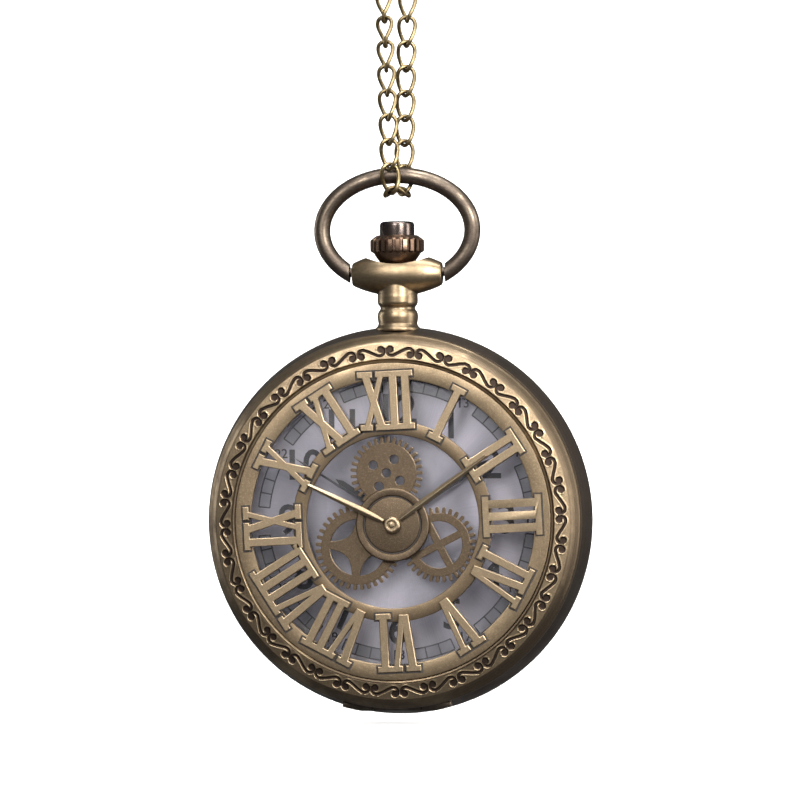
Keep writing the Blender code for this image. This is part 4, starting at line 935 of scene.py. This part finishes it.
# crown with flat ribs, and the push button in its middle
crownSizes = {"ribs": 22, "outer": 3.3, "inner": 3.04, "low": 32.7, "high": 34.3}


def crownAndButton():
    c = crownSizes
    core = [(2.165, 34.6), (2.5, 34.6), (3.0, 34.2), (3.0, 32.75), (2.92, 32.5), (2.5, 31.85), (2.1, 31.3), (1.9, 31.05),
            (0.85, 31.05), (0.85, 22.3), (0.47, 22.3), (0.47, 32.8), (2.165, 32.8)]
    pitch = 2 * math.pi / c["ribs"]
    points = []
    shape = ((c["low"] - 0.25, c["inner"] - 0.15, 0.24), (c["low"] - 0.05, c["outer"] - 0.04, 0.25), (c["low"] + 0.15, c["outer"], 0.25),
             (c["high"] - 0.4, c["outer"], 0.25), (c["high"] - 0.25, c["outer"] - 0.04, 0.25), (c["high"] + 0.22, c["inner"] - 0.45, 0.24))
    for z, r, share in shape:
        for side in (-1, 1):
            a = side * share * pitch
            points.append((r * math.cos(a), r * math.sin(a), z))
            a = side * (share + 0.06) * pitch
            foot = min(r, c["inner"]) - 0.1
            points.append((foot * math.cos(a), foot * math.sin(a), z))
    faces = []
    for row in range(5):
        a, b = row * 4, row * 4 + 4
        faces += [(a, a + 2, b + 2, b), (a + 1, a, b, b + 1), (a + 2, a + 3, b + 3, b + 2)]
    faces += [(1, 3, 2, 0), (20, 22, 23, 21)]
    ribs = aroundAxis(tidyMesh(meshFrom(points, faces)), "copper", c["ribs"], 0.0, 0.00001)
    mesh = merged([turned(rounded(core, 0.05), 132), ribs])
    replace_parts(addPiece("crownBody", mesh, "copper", "crown", stemSpace, 28), "crown")
    button = [(0, 36.3), (1.6, 36.3), (1.9, 36.22), (2.06, 36.06), (2.115, 35.85), (2.115, 33.9), (0.42, 33.9), (0.42, 20.39), (0, 20.39)]
    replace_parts(addPiece("pushButton", turned(rounded(button, 0.12), 96), "dark", "button", stemSpace), "push_button")


# bow: a round wire cut square at the saddle, on two pins
bowSizes = {"a": 9.2, "b": 6.7, "middle": 35.2, "wire": 1.0, "end": 5.85, "pin": 0.55, "pivot": 30.15, "steps": 120, "sides": 40}


def sweptTube(centres, radius, sides, closed, hint=Vector((0, 1, 0))):
    points, faces = [], []
    count = len(centres)
    for i, centre in enumerate(centres):
        before, after = centres[i - 1 if closed or i else 0], centres[(i + 1) % count if closed or i < count - 1 else i]
        along = (Vector(after) - Vector(before)).normalized()
        side = along.cross(hint).normalized()
        up = side.cross(along)
        for k in range(sides):
            t = 2 * math.pi * k / sides
            points.append(tuple(Vector(centre) + side * radius * math.cos(t) + up * radius * math.sin(t)))
    for i in range(count if closed else count - 1):
        for k in range(sides):
            a, b = i * sides, (i + 1) % count * sides
            n = (k + 1) % sides
            faces.append((a + k, a + n, b + n, b + k))
    if not closed:
        faces += [tuple(range(sides)), tuple(range(len(points) - 1, len(points) - sides - 1, -1))]
    return tidyMesh(meshFrom(points, faces))


def bow():
    b = bowSizes
    first = math.acos((b["end"] - 0.7) / b["a"])
    turns = [-first + (math.pi + 2 * first) * i / b["steps"] for i in range(b["steps"] + 1)]
    tube = sweptTube([(b["a"] * math.cos(t), 0, b["middle"] + b["b"] * math.sin(t)) for t in turns], b["wire"], b["sides"], False)
    tube = booleaned(tube, boxMesh((-b["end"], -4, 24), (b["end"], 4, 33.2)), "DIFFERENCE")
    parts = [tube] + [alongX(axisRod(b["pin"], -0.95, 0.95), side * (b["end"] + 0.5 - 0.95), b["pivot"]) for side in (-1, 1)]
    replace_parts(addPiece("bowRing", merged(parts), "bow", "bow", stemSpace), "bow")


pendant()
crownAndButton()
bow()
print("pendant, crown and bow")


# chain: one twisted link, copied on to points that carry each link's turn
linkSizes = {"wide": 1.03, "tall": 1.785, "twist": 0.5, "wire": 0.25, "count": 9, "bar": 41.9, "ring": 68.32, "yaw": math.radians(37),
             "ringRadius": 2.8, "ringWire": 0.38, "steps": 56, "sides": 16}


def strandPlaces(first, firstTurn, last, lastTurn, ease):
    first, last = Vector(first), Vector(last)
    run = last - first
    lean = Vector((0, 0, 1)).rotation_difference(run.normalized()).to_matrix()
    places = []
    for number in range(linkSizes["count"]):
        share = number / (linkSizes["count"] - 1)
        twist = firstTurn[2] + (lastTurn[2] - firstTurn[2]) * share ** ease
        turn = (lean @ Matrix.Rotation(twist, 3, "Z")).to_euler()
        if number == 0:
            turn = firstTurn
        elif number == linkSizes["count"] - 1:
            turn = lastTurn
        places.append((first + run * share, tuple(turn)))
    return places


def chain():
    s = linkSizes
    bar, ring = Vector((0, 0, s["bar"])), Vector((0, 0, s["ring"]))
    places = strandPlaces(bar + Vector((-0.569, -1.419, -0.461)), (0.100, -0.081, -0.138),
                          ring + Vector((-1.336, -1.007, -3.08)), (-0.05, -0.048, -1.111), 1.0)
    places += strandPlaces(bar + Vector((0.705, 1.442, -0.553)), (-0.109, 0.081, -0.135),
                           ring + Vector((1.442, 1.087, -2.87)), (0.097, 0.106, -0.827), 3.0)
    places.append((bar + Vector((0.028, 0.068, -2.002)), (math.pi / 2, 0, -0.682)))
    host = meshFrom([tuple(at) for at, _ in places], [])
    layer = host.attributes.new("turn", "FLOAT_VECTOR", "POINT")
    layer.data.foreach_set("vector", [value for _, turn in places for value in turn])
    turns = [2 * math.pi * i / s["steps"] for i in range(s["steps"])]
    loop = [(s["wide"] * math.cos(t), s["twist"] * math.sin(2 * t), s["tall"] * math.sin(t)) for t in turns]
    link = holdObject(sweptTube(loop, s["wire"], s["sides"], True, Vector((0, 1, 0.02))))
    tree, source = newTree("linkOnPoints", {"Link": ("Object", None)})
    shape = addNode(tree, "GeometryNodeObjectInfo", None, {"Object": source["Link"]}).outputs["Geometry"]
    turn = addNode(tree, "GeometryNodeInputNamedAttribute", {"data_type": "FLOAT_VECTOR"}, {"Name": "turn"}).outputs["Attribute"]
    copies = addNode(tree, "GeometryNodeInstanceOnPoints", None,
                     {"Points": source["Geometry"], "Instance": shape, "Rotation": turn}).outputs[0]
    endTree(tree, copies, "chain")
    mesh = grow(host, tree, {"Link": link})
    bpy.data.objects.remove(link, do_unlink=True)
    across = Vector((math.cos(s["yaw"]), math.sin(s["yaw"]), 0))
    hoop = [tuple(ring + across * s["ringRadius"] * math.cos(t) + Vector((0, 0, s["ringRadius"] * math.sin(t))))
            for t in (2 * math.pi * i / 96 for i in range(96))]
    normal = Vector((-math.sin(s["yaw"]), math.cos(s["yaw"]), 0))
    nodes = [f"chain_link_{side}_{number}" for side in ("left", "right") for number in range(1, s["count"] + 1)]
    piece = addPiece("chainLinks", mesh, "chain", "chain", stemSpace, 60)
    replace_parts(piece, "chain_link_wrap", *nodes)
    hoopPiece = addPiece("endRing", sweptTube(hoop, s["ringWire"], 24, True, normal), "chain", "chain", stemSpace)
    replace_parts(hoopPiece, "end_ring")


# clasp: hook, neck and eye fused, then sawn for the lever; x and z of its own frame
claspSizes = {"eyeZ": 71.12, "turn": math.radians(37 - 90), "middle": 7.4, "a": 3.3, "b": 4.3, "windowA": 1.75, "windowB": 2.7,
              "thick": 2.2, "pivot": math.radians(-48), "gate": math.radians(40), "voxel": 0.08, "rounds": 4}
claspSpace = stemSpace @ Matrix.Translation((0, 0, claspSizes["eyeZ"])) @ Matrix.Rotation(claspSizes["turn"], 4, "Z")
standUp = Matrix.Rotation(math.pi / 2, 4, "X")


def hookPoint(share, angle):
    c = claspSizes
    return ((c["windowA"] + (c["a"] - c["windowA"]) * share) * math.cos(angle),
            c["middle"] + (c["windowB"] + (c["b"] - c["windowB"]) * share) * math.sin(angle))


def upright(outlines, thick, edge=0.0):
    mesh = plate(outlines, -thick / 2, thick / 2, edge) if edge else plate(outlines, -thick / 2, thick / 2, 0.01)
    mesh.transform(standUp)
    return mesh


def uprightRod(radius, length, x, z):
    mesh = axisRod(radius, -length / 2, length / 2)
    mesh.transform(Matrix.Translation((x, 0, z)) @ standUp)
    return mesh


def clasp():
    c = claspSizes
    turns = [2 * math.pi * i / 72 for i in range(72)]
    hook = upright([[hookPoint(1, t) for t in turns], [hookPoint(0, t) for t in turns]], c["thick"], 0.55)
    neck = upright([[(-0.9, 0.9), (0.9, 0.9), (1.5, 4.0), (-1.5, 4.0)]], 1.8, 0.4)
    eye = upright([circlePoints(1.5, 48), circlePoints(0.85, 48)], 1.4, 0.3)
    px, pz = hookPoint(0.5, c["pivot"])
    body = castSolid([hook, neck, eye, uprightRod(0.95, 2.1, px, pz)], c["voxel"], c["rounds"])
    gate = [(px, pz + 1.05), (c["a"] + 1, pz + 1.05), hookPoint(1.8, c["gate"]), hookPoint(-0.2, c["gate"])]
    tip = Vector(hookPoint(0.85, c["gate"])) - Vector((px, pz))
    reach, first = tip.length + 0.15, math.atan2(tip.y, tip.x) - math.radians(12)
    swing = [(px, pz)] + [(px + reach * math.cos(first + math.radians(6) * i), pz + reach * math.sin(first + math.radians(6) * i))
                          for i in range(8)]
    sweep = [(px - 1.2, pz), (px + 1.2, pz), (c["a"] + 1, pz + 2.4), (px - 1.9, pz + 2.4)]
    for tool in (upright([gate], 3.2), uprightRod(1.05, 1.1, px, pz), upright([sweep], 1.1), upright([swing], 1.1),
                 uprightRod(0.35, 4, px, pz)):
        body = booleaned(body, tool, "DIFFERENCE")
    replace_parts(addPiece("claspBody", body, "chain", "clasp", claspSpace, 45), "clasp_body")
    pin = turned(rounded([(0, 1.1), (0.3, 1.1), (0.3, -1.1), (0, -1.1)], 0.06), 32)
    pin.transform(Matrix.Translation((px, 0, pz)) @ standUp)
    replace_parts(addPiece("claspPin", pin, "dark", "clasp", claspSpace), "clasp_pin")
    top = c["gate"] - math.radians(4)
    arc = [c["pivot"] + (top - c["pivot"]) * i / 16 for i in range(17)]
    blade = upright([[hookPoint(0.85, t) for t in arc] + [hookPoint(0.2, t) for t in reversed(arc)]], 1.0, 0.14)
    tab = upright([[(px + 0.3, pz - 0.3), (px + 1.9, pz + 0.5), (px + 1.9, pz + 1.1), (px + 0.5, pz + 1.2)]], 0.9, 0.12)
    lever = booleaned(booleaned(blade, uprightRod(0.8, 1.02, px, pz), "UNION"), tab, "UNION")
    lever = booleaned(lever, uprightRod(0.35, 4, px, pz), "DIFFERENCE")
    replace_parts(addPiece("claspLever", lever, "chain", "lever", claspSpace), "clasp_lever")


chain()
clasp()
print("chain and clasp")


# the pieces that keep their CAD shape get their finish
keptFinishes = {"holder": ["movement_holder"], "steel": ["main_plate", "battery", "quartz_can", "stator", "crown_sleeve", "latch"],
                "board": ["circuit_board"], "copperWire": ["coil"], "dark": ["hinge_pin"],
                "train": ["second_wheel", "centre_wheel", "hour_wheel", "third_wheel", "intermediate_wheel", "rotor", "minute_wheel"]}
for look, names in keptFinishes.items():
    for name in names:
        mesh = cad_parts[name].data
        mesh.materials.clear()
        mesh.materials.append(looks[look])


# pale floor and plain studio light
stageSizes = {"floorZ": -0.106, "floor": 2.2, "wall": 0.35}


def stageSheet():
    s = stageSizes
    profile = [(-1.2, s["floorZ"])] + [(s["wall"] - 0.3 + 0.3 * math.sin(math.pi / 2 * i / 12),
                                        s["floorZ"] + 0.3 - 0.3 * math.cos(math.pi / 2 * i / 12)) for i in range(13)]
    profile.append((s["wall"], 1.4))
    points, faces = [], []
    for y, z in profile:
        points += [(-s["floor"], y, z), (s["floor"], y, z)]
    for i in range(len(profile) - 1):
        faces.append((2 * i, 2 * i + 1, 2 * i + 3, 2 * i + 2))
    mesh = meshFrom(points, faces)
    mesh.shade_smooth()
    mat, tree, shader = blankMaterial("paper")
    shader.inputs["Base Color"].default_value = (0.86, 0.86, 0.86, 1.0)
    shader.inputs["Roughness"].default_value = 0.9
    shader.inputs["Emission Color"].default_value = (1, 1, 1, 1)
    shader.inputs["Emission Strength"].default_value = 0.55
    mesh.materials.append(mat)
    sheet = bpy.data.objects.new("paperSheet", mesh)
    bpy.context.scene.collection.objects.link(sheet)
    sheet.visible_glossy = False


def areaLight(name, power, size, place, colour=(1, 1, 1)):
    data = bpy.data.lights.new(name, "AREA")
    data.energy = power
    data.shape = "RECTANGLE"
    data.size, data.size_y = size
    data.color = colour
    lamp = bpy.data.objects.new(name, data)
    middle = Vector((0, 0, caseZ + 0.01))
    lamp.location = middle + Vector(place)
    lamp.rotation_euler = (middle - lamp.location).to_track_quat("-Z", "Y").to_euler()
    lamp.visible_camera = False
    bpy.context.scene.collection.objects.link(lamp)


def lights():
    world = bpy.data.worlds.new("studio")
    world.use_nodes = True
    world.node_tree.nodes["Background"].inputs["Color"].default_value = (0.50, 0.51, 0.54, 1)
    world.node_tree.nodes["Background"].inputs["Strength"].default_value = 0.28
    bpy.context.scene.world = world
    areaLight("keyLight", 4.2, (0.16, 0.36), (0.27, -0.37, 0.20), (1.0, 0.97, 0.93))
    areaLight("leftLight", 1.7, (0.12, 0.24), (-0.06, -0.42, 0.21), (1.0, 0.97, 0.94))
    areaLight("rightLight", 1.8, (0.12, 0.45), (0.48, -0.04, 0.06), (1.0, 0.96, 0.92))
    areaLight("backLeft", 0.7, (0.08, 0.4), (-0.5, 0.12, 0.05))
    areaLight("topLight", 2.2, (0.4, 0.12), (0.05, -0.10, 0.40))


stageSheet()
lights()
print("stage and lights")
